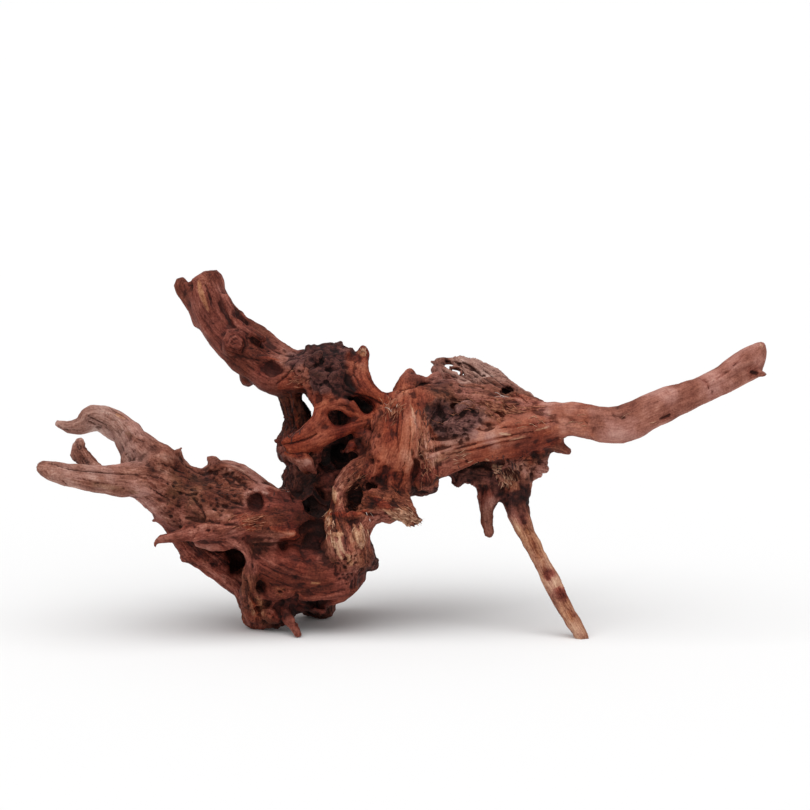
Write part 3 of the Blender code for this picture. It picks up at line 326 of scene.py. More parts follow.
# The marks drawn on the front side: how wide, how high or deep, the paint, and a route of (across, up)
# Marks noted below as painted shade or shadow darken holes, gaps, folds and the underside of a ledge
MARKS = [
    (1.1, -1.6, "dark", [
        (-209, 104.6), (-202, 102.6), (-195, 101), (-180, 99.6), (-168, 98.6), (-157, 98.4)]),
    (1.4, -0.5, "dark", [(-159, 98), (-152, 95), (-146, 90)]),
    (1.0, -1.2, "dark", [(-150, 90.5), (-145, 86.5), (-140, 84)]),
    (0.9, -0.8, "dark", [(-202.5, 94.6), (-200, 91.6)]),
    (3.0, 0.0, "olive", [(-196, 94), (-184, 92), (-170, 89.6), (-158, 87)]),
    (1.2, -0.8, "dark", [(-174, 138), (-168.6, 134.6), (-162.8, 131)]),
    (1.6, 0.5, "pale", [(-170, 134.4), (-165, 131.6)]),
    (1.0, -0.9, "dark", [(-188, 133.6), (-182, 130.4), (-176, 127.6)]),
    (1.0, -0.7, "dark", [(-187, 130), (-183, 128)]),
    (2.6, 0.0, "olive", [(-164, 123), (-157, 118)]),
    (0.9, -0.8, "dark", [(-158, 119.6), (-154, 118.2), (-150, 118.4)]),
    (2.2, 0.0, "light", [(-146, 109.4), (-138, 108.6)]),
    (3.2, 0.7, "light", [(-146, 58.6), (-132, 62), (-118, 66.6), (-101, 73.4)]),
    (5.0, 0.0, "peel", [(-97, 74), (-92, 70), (-89, 66)]),
    (1.3, -1.2, "dark", [(-112, 99), (-107, 96.5), (-104, 97.5)]),
    (1.4, -1.4, "dark", [(-124, 84), (-119, 78), (-117, 72)]),
    (1.3, -1.2, "dark", [(-133, 88), (-126, 86), (-121, 87.4)]),
    (1.5, -1.4, "dark", [(-108, 86), (-101, 82), (-95, 80)]),
    (2.6, 0.6, "peel", [(-77, 66), (-68, 64), (-60.6, 61.4)]),
    (1.4, -1.3, "dark", [(-88, 56), (-78, 56), (-68, 57)]),
    (1.3, 0.5, "light", [(-86, 50), (-76, 44), (-64, 39), (-50, 35)]),
    (1.0, -0.6, "shade", [(-84, 45), (-74, 39.6), (-62, 36)]),
    (1.0, -0.7, "dark", [(-84, 39), (-74, 34), (-66, 31)]),
    (3.4, 0.3, "peel", [(-91, 25), (-89, 21), (-86, 18)]),
    (2.6, 0.7, "tan", [(-76.4, 29.6), (-72.6, 29.2), (-68.6, 29.6)]),
    (2.0, 0.5, "tan", [(-74.6, 26.6), (-71, 26.2)]),
    (0.9, -1.2, "dark", [(-69.6, 29.4), (-69, 28.6)]),
    (1.4, -2.0, "dark", [(-72.8, 28.2), (-71.4, 27.6)]),
    # Painted shade that draws the arm's hollow out longer, on a shallow groove
    (5.2, -1.6, "umber", [(-83.4, 161.4), (-78, 161.8), (-72, 160.2)]),
    (2.0, 0.0, "pale", [(-54, 33), (-49, 32.6)]),
    (3.0, 0.3, "sound", [(-60, 28.4), (-47, 29.2), (-34, 32)]),
    (1.2, 0.6, "light", [(-58, 24), (-44, 24.6), (-33, 27.6)]),
    (2.8, -3.0, "umber", [(-60, 19.6), (-52, 20), (-44, 20.6), (-37, 22.6)]),
    (2.6, 0.9, "pale", [(-120.6, 214), (-119.6, 208), (-117, 201), (-114.6, 196)]),
    # Painted shade in the left lobe's hole
    (2.8, -3.0, "dark", [(-126.6, 213), (-125.4, 209.4)]),
    (1.3, -1.0, "dark", [(-116.6, 212), (-114.4, 206), (-113, 200)]),
    (1.4, -0.9, "shade", [
        (-104, 177), (-102, 181.6), (-97.6, 182.6), (-93.6, 179.6), (-92.6, 175), (-95, 171)]),
    (1.3, -0.7, "shade", [(-101.6, 177), (-100, 179.6), (-97, 179.4), (-94.4, 176.6), (-95, 173.6)]),
    (1.4, 0.7, "light", [(-106, 179), (-102.6, 184.4), (-97, 185.4), (-91.6, 181), (-89.6, 175)]),
    (1.8, -1.8, "dark", [(7.4, 113), (8.4, 108), (11, 103)]),
    (1.6, -1.4, "shade", [(11, 114), (12.4, 109), (14.4, 104)]),
    (2.0, -1.4, "shade", [(16, 112), (22, 113.4), (30, 115)]),
    (1.4, 0.6, "light", [(14, 107), (24, 111.6), (38, 115.6)]),
    (1.3, 0.8, "light", [(-104.8, 203), (-101.6, 193.6), (-98, 187.6), (-90, 183.6), (-83, 180)]),
    # The umber marks on this line and the next are painted shade in the arm's fold
    (3.8, -2.6, "umber", [(-100.6, 203), (-97.6, 193.4), (-92.6, 188.4)]),
    (2.6, -2.4, "umber", [(-88.6, 179.6), (-83.6, 176), (-79, 172.6)]),
    (1.5, -1.6, "dark", [(-76, 172.4), (-70, 170), (-64, 169.8)]),
    (1.2, 0.6, "light", [(-102.6, 179), (-99, 180.6), (-95.4, 178.4), (-95, 174.6)]),
    (1.3, -1.2, "dark", [(-101, 176), (-98.6, 177.6), (-96.6, 176)]),
    (1.1, -0.9, "dark", [(-104, 172), (-98, 170), (-91, 167.6), (-84, 166.4)]),
    (1.0, -0.7, "dark", [(-92, 164), (-86, 159.6), (-79, 154.6)]),
    (1.1, 0.6, "peel", [(-88, 167.8), (-80, 168.4), (-73, 167)]),
    (3.6, 0.4, "peel", [(-72, 150.4), (-66, 155), (-63, 158.4)]),
    (3.6, 0.3, "peel", [(-70, 150.6), (-62, 151.6), (-56, 152)]),
    (1.1, -1.4, "dark", [(-74, 152.6), (-68.6, 157), (-65, 161.4), (-61.8, 157.6)]),
    (1.4, 0.7, "peel", [(-65, 141), (-62.6, 134), (-61, 126)]),
    (1.3, -1.2, "dark", [(-67, 144), (-64.8, 136), (-63.6, 128)]),
    (1.2, -1.6, "dark", [(-73, 115.4), (-64, 116.8), (-56, 119.4), (-50, 122.6)]),
    (3.0, 0.4, "light", [(-57, 110), (-55, 104), (-53, 99)]),
    # Painted shade in the deep gap that runs down beside the column
    (5.6, 0.0, "dark", [(-36, 122), (-38, 113), (-42, 104), (-50, 92), (-50, 82), (-50, 74)]),
    (4.2, 1.0, "red", [(-29.4, 116), (-28.6, 114.6)]),
    (2.4, 0.6, "pale", [(-24.6, 171.6), (-21, 169.4)]),
    (2.2, 1.0, "pale", [(-33, 160.6), (-32.4, 159.4)]),
    (1.4, -1.4, "dark", [(-27, 166), (-27.4, 158), (-24, 151)]),
    (1.6, -1.8, "dark", [(-33.6, 150), (-27, 146), (-17, 143), (-11, 140.6)]),
    (7.5, 0.0, "red", [(-3, 140), (-4, 128), (-5, 116), (-2, 104)]),
    (1.6, 0.0, "tan", [(6, 141), (8, 134), (10, 126)]),
    (1.3, -1.6, "dark", [(0, 149), (5, 150), (12, 152), (22, 153.6)]),
    (1.1, -1.2, "dark", [(13.4, 112), (13, 107), (14.6, 103)]),
    (1.4, -1.4, "dark", [(10.6, 106), (9, 100), (8, 95)]),
    (1.0, 0.6, "light", [(14, 130), (15, 120), (16, 110), (17.6, 101)]),
    (1.0, 0.5, "light", [(9, 128), (10, 118), (10.6, 110)]),
    (1.0, -0.8, "dark", [(6, 132), (6.4, 120), (5, 110)]),
    (1.0, -0.7, "dark", [(-1, 134), (-2, 122), (-1, 112)]),
    (3.5, 0.2, "shade", [(-30, 100), (-18, 96), (-4, 98)]),
    (2.6, 0.8, "pale", [(-39.6, 90), (-39, 82)]),
    (3.6, 0.4, "pale", [(-44, 78), (-43.6, 72), (-42, 68.6)]),
    (2.0, 0.5, "pale", [(-27.8, 68), (-25.8, 61), (-22.8, 54)]),
    (2.0, 0.5, "pale", [(-23.8, 67.4), (-22.6, 61), (-21.6, 56)]),
    (2.0, 0.5, "pale", [(-43, 62.6), (-38.6, 62), (-34, 62.4)]),
    (2.0, 0.5, "pale", [(-41, 60.6), (-38.4, 54), (-34.8, 47.6)]),
    (1.4, 0.4, "pale", [(-36.8, 61), (-35.6, 56), (-33.6, 51)]),
    (2.4, 0.8, "red", [(-43, 75), (-34, 74), (-26, 74.6), (-19, 76.4)]),
    (1.4, -1.2, "umber", [(-33, 78.6), (-25, 79)]),
    (2.0, 0.4, "pale", [(-32, 50), (-29, 44)]),
    (2.6, 0.6, "pale", [(-10.4, 77.6), (-4, 74.6), (2, 71), (5, 68)]),
    (3.6, 0.2, "red", [(-15, 83), (-10, 79.6), (-4, 78)]),
    # Painted shade in the recess by the bracket
    (5.0, 0.0, "dark", [(-18, 86), (-17, 81)]),
    (1.6, 0.6, "light", [(15.6, 99), (17, 93.4), (16.6, 91)]),
    (4.4, 0.0, "tan", [(19, 104.6), (28, 109), (38, 112)]),
    # Painted shade in the burl's hole
    (3.4, -2.6, "dark", [(24.4, 144), (25, 136), (26, 129)]),
    (1.8, -2.0, "dark", [(31, 143.6), (33, 142.6)]),
    (1.4, 0.5, "pale", [(22.6, 128.4), (24, 127.6)]),
    # Painted shade in the slot below the burl
    (2.2, -2.2, "dark", [(19, 119.6), (28, 120), (40, 122)]),
    (2.0, -1.6, "dark", [(36, 134), (42, 137), (47, 135)]),
    (1.8, -1.4, "dark", [(52, 133), (58, 135), (62, 132.6)]),
    (1.6, -1.2, "dark", [(44, 126), (50, 124.6), (56, 126)]),
    (1.2, 0.5, "pale", [(60, 122.4), (66, 122)]),
    (1.1, 0.5, "pale", [(66, 118.6), (76, 121.4)]),
    (1.1, 0.5, "pale", [(81, 124.6), (90, 127)]),
    (1.2, -0.8, "dark", [(32, 113.4), (48, 117.4), (64, 121), (80, 124)]),
    (1.1, -0.7, "dark", [(28, 110), (44, 113), (62, 117.6), (78, 120)]),
    (1.0, -0.6, "dark", [(60, 126), (76, 127.6), (92, 130)]),
    (2.8, 0.0, "light", [(104, 138.4), (112, 137.4), (120, 136.4)]),
    (3.2, -0.9, "light", [(128, 134), (134, 132.4)]),
    (2.0, -1.5, "umber", [(156.4, 131.2), (159.4, 132.4), (162, 133.8)]),
    (1.4, -0.8, "shade", [(180, 156), (184, 153.6), (185.4, 149.6)]),
    (1.6, 0.0, "light", [(161, 149), (166, 147)]),
    (2.0, -1.4, "umber", [(211, 159.6), (214.6, 158.8)]),
    (1.6, 0.5, "light", [(194, 160), (204, 164), (213, 166)]),
    (1.6, 0.0, "pale", [(216, 176.6), (218, 174.4)]),
    (1.0, -0.6, "shade", [(206, 170), (198, 161), (188, 154)]),
    (2.4, 0.4, "pale", [(56, 103.6), (60, 101.6)]),
    (3.6, 0.6, "tan", [(59, 97), (65, 94), (71, 90)]),
    (1.3, 0.5, "pale", [(51.6, 107.4), (53, 106.6)]),
    (1.2, 0.4, "pale", [(75.4, 64.8), (77, 63)]),
    (3.0, 0.0, "dark", [(87.4, 39.4), (88.8, 36)]),
    (2.6, 0.0, "dark", [(95.6, 29), (97.6, 25)]),
    (1.8, 0.0, "dark", [(101, 17), (103, 12)]),
    (1.6, 0.0, "dark", [(73, 74), (77, 63), (83, 50), (88, 40)]),
    (1.4, 0.0, "dark", [(49.6, 88), (48.8, 74), (50.8, 62)]),
    # Painted shade in the stump's hole
    (4.2, -1.4, "dark", [(61, 146.6), (66, 147.6)]),
    (2.6, 0.3, "grey", [(45, 161), (50, 158), (56, 154)]),
    (1.5, -2.2, "umber", [(38, 165.6), (50, 157), (60, 150), (68, 144.6)]),
    (1.4, -1.0, "shade", [(-112, 98), (-104, 98.4), (-96, 93.6), (-88, 88)]),
    (1.6, 1.0, "light", [(-93, 86.6), (-86, 88.4), (-79, 86.4)]),
    # Painted shadow under the top ledge of the body
    (2.2, -1.4, "dark", [(-128, 103), (-118, 98.4), (-110, 100)]),
    (2.0, -1.6, "dark", [(-128, 72), (-112, 69.4), (-98, 68)]),
    (2.4, -1.8, "dark", [(-92, 34), (-88, 24), (-84, 16)]),
    (2.2, 0.9, "tan", [(-88, 29), (-84, 22), (-82, 14)]),
    (1.1, -1.2, "dark", [(50, 161), (60, 153.6), (70, 146.4), (77, 140.6)]),
    (2.2, -3.0, "umber", [(28, 166), (33, 161.4), (42.5, 155.4), (50, 150)]),
    (1.6, -2.4, "umber", [(33, 166), (43, 159), (53, 151.6)]),
    (2.2, 0.8, "tan", [(-91, 25), (-89.6, 20), (-88, 14)]),
    (2.0, -0.8, "umber", [(-83.6, 30), (-81, 25), (-79, 20)]),
]

# Loose fibres and splinters, by the piece they are in: where they grow (across, up), how far round it, how
# many, which way they point (across, up, back), the least and most of their length and of their radius, and how
# closely they keep to the wood
TUFTS = {
    "pale_splinters": [
        ((6, 71), (5, 2.5), 34, (1, -0.35, -0.2), (3, 8), (0.25, 0.55), 0.3),
        ((-2, 75), (7, 4), 30, (1, -0.5, -0.1), (5, 10), (0.3, 0.6), 0.8),
        ((65, 97), (6, 6), 40, (0.1, -1, -0.1), (3, 7), (0.25, 0.45), 0.85),
        ((-21.6, 172), (2.5, 2), 12, (0.1, 1, 0), (1.5, 3.5), (0.3, 0.6), 0.5),
        ((-24, 62), (4, 8), 20, (0.1, -1, 0), (4, 9), (0.3, 0.5), 0.9),
        ((-42, 72), (3, 6), 14, (0.1, -1, 0), (4, 9), (0.25, 0.45), 0.9),
        ((88, 128), (30, 7), 16, (1, 0.15, 0), (4, 10), (0.2, 0.35), 1.0),
        ((30, 108), (16, 5), 12, (1, 0.3, 0), (4, 10), (0.2, 0.35), 1.0),
        ((56, 102), (3, 2), 8, (1, -0.4, 0), (3, 5), (0.5, 0.8), 0.9),
    ],
    "red_hairs": [
        ((52, 139), (22, 6), 90, (1, -0.35, 0), (7, 16), (0.2, 0.38), 0.85),
        ((14, 118), (5, 18), 46, (0.1, -1, 0), (8, 20), (0.15, 0.3), 0.95),
        ((-6, 134), (5, 9), 44, (0.5, 1, -0.2), (4, 9), (0.2, 0.38), 0.65),
        ((-93, 69), (8, 6), 26, (1, 0.3, 0), (5, 12), (0.2, 0.35), 0.9),
        ((0, 78), (9, 5), 24, (1, -0.6, 0), (4, 9), (0.2, 0.35), 0.7),
        ((-64, 154), (8, 5), 16, (1, 0.3, 0), (5, 10), (0.15, 0.3), 0.9),
        ((-30, 92), (8, 5), 24, (1, 0.5, 0), (5, 10), (0.15, 0.3), 0.9),
    ],
    "dark_rootlets": [
        ((-68, 92), (6, 7), 26, (-0.3, 1, -0.3), (4, 9), (0.2, 0.4), 0.5),
        ((-66, 126), (4, 16), 26, (0, 1, 0), (6, 14), (0.2, 0.4), 0.9),
        ((-112, 92), (20, 12), 34, (1, 0.2, -0.1), (3, 7), (0.15, 0.3), 0.7),
        ((20, 130), (12, 12), 26, (0.4, 1, 0), (4, 9), (0.2, 0.35), 0.8),
        ((60, 104), (16, 6), 30, (0.3, -1, 0), (3, 8), (0.2, 0.4), 0.7),
    ],
    "stray_fibres": [
        ((-69, 89), (1.5, 2), 3, (0.4, -1, -0.7), (6, 10), (0.14, 0.2), 0.0),
        ((57, 146), (3, 2), 3, (1, -0.8, -0.3), (6, 10), (0.14, 0.2), 0.2),
        ((-19, 74), (2, 2), 4, (0.3, -1, -0.4), (3, 5), (0.14, 0.2), 0.2),
        ((-4, 137), (3, 3), 5, (-0.2, 1, -0.4), (4, 7), (0.14, 0.2), 0.2),
        ((11, 70), (1.5, 1.5), 5, (1, -0.6, -0.2), (3, 5), (0.14, 0.2), 0.0),
    ],
}

# What each paint brings: the shares of bark, peel, grey and pale wood, how dark or light it is, and how earthy
# The dark, umber and shade paints are also laid as painted shade in clefts, holes, gaps, folds and under a
# ledge
PAINTS = {
    "dark": (0.0, 0.0, 0.0, 0.0, 1.0, 0.0), "shade": (0.0, 0.0, 0.0, 0.0, 0.35, 0.0),
    "light": (0.0, 0.0, 0.2, 0.0, -0.6, 0.0), "pale": (0.0, 0.0, 0.0, 1.0, -0.2, 0.0),
    "tan": (0.0, 0.2, 0.0, 0.6, 0.0, 0.2), "peel": (0.0, 1.0, 0.0, 0.0, -0.2, 0.0),
    "red": (0.0, 1.0, 0.0, 0.0, 0.25, 0.0), "sound": (0.0, 0.05, 0.2, 0.0, 0.25, 0.0),
    "umber": (0.35, 0.2, 0.0, 0.0, 0.6, 0.0), "grey": (0.0, 0.0, 1.0, 0.2, 0.0, 0.0),
    "bark": (1.0, 0.0, 0.0, 0.0, 0.2, 0.0), "olive": (0.0, 0.0, 0.3, 0.0, 0.15, 1.0),
}

# Patches of the skin that reach round a limb: the paint, its strength, where, how far it reaches, and how far
# the skin rises there. The dark and umber patches noted below are painted shade in the clefts, holes, gaps,
# hollows and folds
PATCHES = [
    ("dark", 0.44, (-122, 84, 0), 36, 0), ("dark", 0.25, (-90, 80, 0), 24, 0),
    ("olive", 0.4, (-127, 88, -6), 16, 0), ("grey", 0.5, (-196, 98, -24), 26, 0),
    ("grey", 0.5, (-190, 130, 18), 30, 0), ("bark", 0.35, (-112, 84, 0), 16, 0),
    # The dark patches on this line and the next are painted shade in the deep cavity under the web and round
    # the cleft
    ("dark", 0.9, (-58, 84, 6), 22, 0), ("bark", 0.6, (-58, 84, 6), 18, 0),
    ("dark", 0.4, (-64, 66, -2), 14, 0), ("dark", 0.35, (-60, 46, 2), 14, 0),
    ("bark", 0.6, (67, 91, 18), 15, 0), ("bark", 0.5, (70, 79, 15), 13, 0),
    # The umber patch at (-51, 74) and the dark one at (-47, 74) below it are painted shade above the cleft
    ("dark", 0.12, (69, 84, 15), 15, 0), ("umber", 0.9, (-51, 74, 5), 13, -1),
    ("dark", 0.5, (-47, 74, 5), 10, 0), ("bark", 0.5, (-34, 147, 12), 8, 0),
    # The dark and umber patches at (-104, 45) are painted shade in the hollow
    ("umber", 0.6, (-20, 118, 12), 11, 0), ("dark", 0.6, (-104, 46, 3), 12, -1.5),
    ("umber", 0.7, (-104, 44, 3), 11, 0), ("umber", 0.7, (52, 86, 22), 9, 0),
    ("umber", 0.8, (-33, 71, -4), 8, 0), ("sound", 0.9, (-78, 168, 30), 13, 0),
    # The dark and umber patches at (-96, 190), (-93, 193) and (-85, 178) are painted shade in the arm's fold
    ("tan", 0.6, (-28, 42, -6), 9, 0), ("dark", 0.6, (-96, 190, 44), 7, 0),
    ("umber", 0.8, (-93, 193, 52), 8, 0), ("light", 0.3, (-188, 130, 18), 26, 0),
    ("dark", 0.5, (-85, 178, 36), 6, 0), ("umber", 0.6, (-40, 98, 16), 12, 0),
    ("tan", 0.5, (-84, 24, 8), 8, 0), ("peel", 0.7, (-88, 14, 12), 8, 0),
    ("dark", 0.5, (-72, 12, 12), 8, 0), ("olive", 0.5, (8, 130, 6), 8, 0),
    ("tan", 0.35, (10, 112, 2), 9, 0), ("pale", 0.3, (60, 121, 0), 9, 0),
    ("peel", 0.9, (-27, 160, 22), 10, 0), ("peel", 0.6, (-56, 156, 22), 9, 0),
    ("bark", 0.5, (8, 155, 28), 9, 0), ("bark", 0.4, (26, 151, 24), 10, 0),
    ("dark", 0.25, (-33, 146, 20), 9, -1.5), ("dark", 0.15, (0, 96, 6), 12, 0),
    ("bark", 0.4, (-28, 40, 4), 14, 0), ("bark", 0.7, (-58, 16, 14), 18, 0),
    ("umber", 0.9, (-47, 18, 8), 9, -2.5), ("umber", 0.8, (-62, 19, 10), 7, -1.5),
    # From here to line 547 the dark and umber patches are painted shade in the cleft, the gap by the column and
    # the hollows
    ("peel", 0.7, (-30, 115, 18), 5, 0), ("dark", 0.5, (-52, 57, 6), 10, 0),
    ("dark", 0.6, (-26.5, 85.5, 6), 6, -1), ("bark", 0.4, (-82, 60, 0), 12, -1),
    ("dark", 0.6, (-50, 60, 4), 11, -1), ("dark", 0.6, (-100, 46, -2), 9, -3),
    ("dark", 0.9, (-86, 82, -3), 7.5, -1), ("umber", 0.8, (-86, 82, -3), 7, 0),
    ("dark", 0.95, (-68, 80, -6), 17, 0), ("umber", 0.8, (-66, 80, -6), 15, 0),
    ("dark", 0.9, (-62, 53, -2), 14, 0), ("umber", 0.8, (-61, 53, -2), 12, 0),
    ("olive", 0.45, (-112, 86, -8), 26, 0), ("olive", 0.4, (-140, 100, -4), 24, 0),
    ("olive", 0.35, (-28, 92, 4), 15, 0), ("tan", 0.3, (-34, 86, 0), 10, 0),
    # The dark patches from (-38, 110) to (-21, 139) are painted shade in the passage under the web and in the
    # holes and gaps
    ("tan", 0.35, (-86, 18, 12), 14, 0), ("dark", 0.7, (-38, 110, 24), 15, -3),
    ("dark", 0.6, (-50, 84, 8), 11, -4), ("dark", 0.5, (-26, 86, 6), 7, -2),
    ("dark", 0.5, (-37, 131, 14), 8, -2), ("dark", 0.5, (-21, 139, 18), 7, -1.5),
    # The dark patches at (-77.5, 160.6) and (25, 136) are painted shade in the arm's hollow and the burl's hole
    ("dark", 0.5, (-62, 120, 48), 16, 0), ("dark", 0.2, (-77.5, 160.6, 32), 9, -1.2),
    ("dark", 0.15, (-98, 180, 34), 16, 0), ("dark", 0.6, (25, 136, 4), 8, -2.5),
    ("bark", 0.45, (-35, 152, 20), 14, 0), ("umber", 0.25, (-8, 96, 8), 12, 0),
    ("light", 0.3, (72, 100, 18), 12, 0), ("peel", 0.6, (70, 124, 8), 24, 0),
    ("dark", 0.3, (72, 125, 10), 26, 0), ("dark", 0.2, (64, 100, 30), 16, -1),
    ("bark", 0.6, (60, 146, 40), 10, 0), ("grey", 0.5, (-156, 104, 4), 20, 0),
    ("peel", 0.5, (46, 113, 6), 12, 0), ("tan", 0.45, (68, 99, 16), 10, 0),
    ("dark", 0.4, (-120, 60, 8), 14, 0), ("umber", 0.9, (89, 38, 5), 4.6, 0),
    ("umber", 0.95, (97, 26, 3), 5, 0), ("umber", 0.7, (103, 13, 1), 3.6, 0),
    ("umber", 0.6, (80, 56, 10), 4, 0), ("dark", 0.5, (208, 161, 28), 6, -0.5),
    ("grey", 0.6, (60, 155, 52), 18, 0), ("grey", 0.7, (46, 160, 52), 16, 0),
    ("dark", 0.7, (-48, 14, 10), 12, 0), ("olive", 0.15, (14, 112, 4), 9, 0),
    ("umber", 0.9, (15, 96, 3), 11, 0), ("dark", 0.3, (15, 97, 2), 11, 0),
    # The dark patch at (66, 146) is painted shade in the stump's hole
    ("olive", 0.5, (-86, 56, -4), 9, 0), ("dark", 0.4, (66, 146, 46), 8, -1),
    ("peel", 0.5, (-68, 155, 28), 8, 0.5), ("olive", 0.25, (-196, 94, -30), 14, 0),
    ("olive", 0.8, (-131, 89, -8), 14, 0), ("olive", 0.5, (-122, 68, -2), 14, 0),
    ("peel", 0.5, (-93, 70, -10), 8, 0), ("pale", 0.6, (-44, 73, -2), 6, 0),
    ("pale", 0.25, (-25, 61, -6), 7, 0), ("pale", 0.25, (-39, 56, -8), 6.5, 0),
    # The umber and dark patches on this line and the umber one that follows are painted shade in and above the
    # cleft
    ("umber", 0.9, (-55, 73, 0), 13, -1.5), ("dark", 0.5, (-53, 74, 0), 13, 0),
    ("umber", 0.9, (-52, 59, 4), 12, 0), ("peel", 0.6, (-66, 62, -8), 8, 0),
    ("dark", 0.25, (-18, 95, 8), 17, 0), ("light", 0.5, (-72, 168, 32), 13, 0),
    ("dark", 0.2, (-146, 104, 2), 22, 0), ("sound", 0.7, (8, 157, 40), 9, 0),
    ("peel", 0.45, (56, 124, 6), 14, 0), ("pale", 0.6, (0, 72, -6), 8, 0),
    ("tan", 0.4, (26, 108, 4), 12, 0), ("olive", 0.3, (34, 112, 3), 14, 0),
    ("peel", 0.5, (102, 131, 8), 20, 0), ("dark", 0.1, (100, 130, 8), 20, 0),
    ("umber", 0.5, (10, 154, 26), 13, 0), ("olive", 0.25, (66, 122, 6), 20, 0),
    ("tan", 0.6, (65, 94, 18), 8, 0),
]


def seen(across, up, back):
    """The point in space, in millimetres, that the front view shows at across and up, this far back."""
    ray = RIGHT * (across - VIEW_ACROSS) + LIFT * (up - VIEW_UP) + AWAY * VIEW_DISTANCE
    return EYE + ray * ((VIEW_DISTANCE + back) / VIEW_DISTANCE)


def smooth_line(points, radii, step):
    """Points and radii about one step apart on a smooth line through the given points."""
    points = np.array([points[0] * 2 - points[1], *points, points[-1] * 2 - points[-2]], float)
    radii = np.array([radii[0], *radii, radii[-1]], float)
    places, reaches = [], []
    for i in range(1, len(points) - 2):
        before, start, end, after = points[i - 1:i + 3]
        steps = max(2, round(float(np.linalg.norm(end - start)) / step))
        last = i == len(points) - 3
        t = np.linspace(0, 1, steps + 1)[:steps + last, None]
        places.append(0.5 * (2 * start + (end - before) * t
                             + (2 * before - 5 * start + 4 * end - after) * t ** 2
                             + (3 * start - before - 3 * end + after) * t ** 3))
        ease = (t * t * (3 - 2 * t))[:, 0]
        reaches.append(radii[i] + (radii[i + 1] - radii[i]) * ease)
    return np.concatenate(places), np.concatenate(reaches)


def line_through(stations, step):
    """Points and radii about one step apart on a smooth line through stations of (across, up, back, radius)."""
    heart = [np.array(seen(*station[:3])) for station in stations]
    return smooth_line(heart, [station[3] for station in stations], step)


def turned_frames(points):
    """For each point of a line its direction and two sideways directions that twist as little as they can."""
    ways = np.gradient(points, axis=0)
    ways /= np.linalg.norm(ways, axis=1)[:, None]
    over = np.array((0.0, 0.0, 1.0)) if abs(ways[0, 2]) < 0.8 else np.array((0.0, 1.0, 0.0))
    sides, overs = [], []
    for way in ways:
        side = np.cross(over, way)
        side /= np.linalg.norm(side)
        over = np.cross(way, side)
        sides.append(side)
        overs.append(over)
    return ways, np.array(sides), np.array(overs)


def grain_lines():
    """Each limb's line with its radii, its frames, its lengths, its finish and its relief."""
    lines = []
    for finish, depth, stations in GRAIN_LINES.values():
        places, radii = line_through(stations, LINE_STEP)
        steps = np.linalg.norm(np.diff(places, axis=0), axis=1)
        lengths = np.concatenate([[0.0], np.cumsum(steps)])
        lines.append((places, radii, *turned_frames(places), lengths, np.array(finish), depth))
    return lines


def follow_grain(points, lines):
    """For each point the two limbs it lies on most, how far it lies from their hearts, and where on them."""
    count = len(points)
    scores = np.full((count, 2), 1e9)
    limbs = np.zeros((count, 2), int)
    places = np.zeros((count, 2, 3))
    for number, (heart, radii, ways, sides, overs, lengths, _, _) in enumerate(lines):
        apart = ((points ** 2).sum(1)[:, None] - 2 * points @ heart.T + (heart ** 2).sum(1)) / radii ** 2
        nearest = apart.argmin(1)
        score = np.sqrt(np.maximum(apart[np.arange(count), nearest], 0))
        away = points - heart[nearest]
        spot = np.stack([
            lengths[nearest] + (away * ways[nearest]).sum(1),
            (away * sides[nearest]).sum(1),
            (away * overs[nearest]).sum(1),
        ], 1)
        first = score < scores[:, 0]
        second = ~first & (score < scores[:, 1])
        for kept, new in ((scores, score), (limbs, np.full(count, number)), (places, spot)):
            kept[first, 1] = kept[first, 0]
            kept[first, 0] = new[first]
            kept[second, 1] = new[second]
    return scores, limbs, places


LATTICE = np.random.default_rng(SEED)
SHUFFLE = LATTICE.permutation(256)
LEANS = LATTICE.normal(size=(256, 3))
LEANS /= np.linalg.norm(LEANS, axis=1)[:, None]


def lattice_number(cells):
    """A number from 0 to 255 for each cell of space, the same each time."""
    x, y, z = (cells[:, axis] & 255 for axis in range(3))
    return SHUFFLE[(SHUFFLE[(SHUFFLE[x] + y) & 255] + z) & 255]


def waves(points):
    """Smooth noise from about -1 to 1, with about one bump for each unit of distance.

    Where it is used, points are divided by the bump's size in millimetres. A number added after that only moves
    the pattern, so that no two patterns lie alike.
    """
    cells = np.floor(points).astype(int)
    parts = points - cells
    fade = parts ** 3 * (parts * (parts * 6 - 15) + 10)
    total = np.zeros(len(points))
    for corner in itertools.product((0, 1), repeat=3):
        lean = LEANS[lattice_number(cells + corner)]
        share = np.prod(np.where(corner, fade, 1 - fade), axis=1)
        total += share * ((parts - corner) * lean).sum(1)
    return total * 1.7


def eased(values, low, high):
    """0 below low, 1 above high, and smooth between."""
    t = np.clip((values - low) / (high - low), 0, 1)
    return t * t * (3 - 2 * t)


def mesh_points(mesh):
    """A mesh's points in millimetres."""
    points = np.empty(len(mesh.vertices) * 3, np.float32)
    mesh.vertices.foreach_get("co", points)
    return points.reshape(-1, 3).astype(float) / MM


def set_points(mesh, points):
    """Moves a mesh's points to these places in millimetres."""
    mesh.vertices.foreach_set("co", (points * MM).astype(np.float32).ravel())
    mesh.update()


def mesh_normals(mesh):
    """The way that the skin faces at each of its points."""
    normals = np.empty(len(mesh.vertices) * 3, np.float32)
    mesh.vertices.foreach_get("normal", normals)
    return normals.reshape(-1, 3).astype(float)


def mesh_edges(mesh):
    """The pairs of points that edges join."""
    edges = np.empty(len(mesh.edges) * 2, np.int32)
    mesh.edges.foreach_get("vertices", edges)
    return edges.reshape(-1, 2)


def neighbours_mean(points, edges):
    """For each point the middle of the points that edges join to it."""
    ends = np.concatenate([edges[:, 0], edges[:, 1]])
    others = np.concatenate([edges[:, 1], edges[:, 0]])
    counts = np.bincount(ends, minlength=len(points))
    sums = np.stack([np.bincount(ends, points[others, axis], len(points)) for axis in range(3)], 1)
    return sums / counts[:, None]


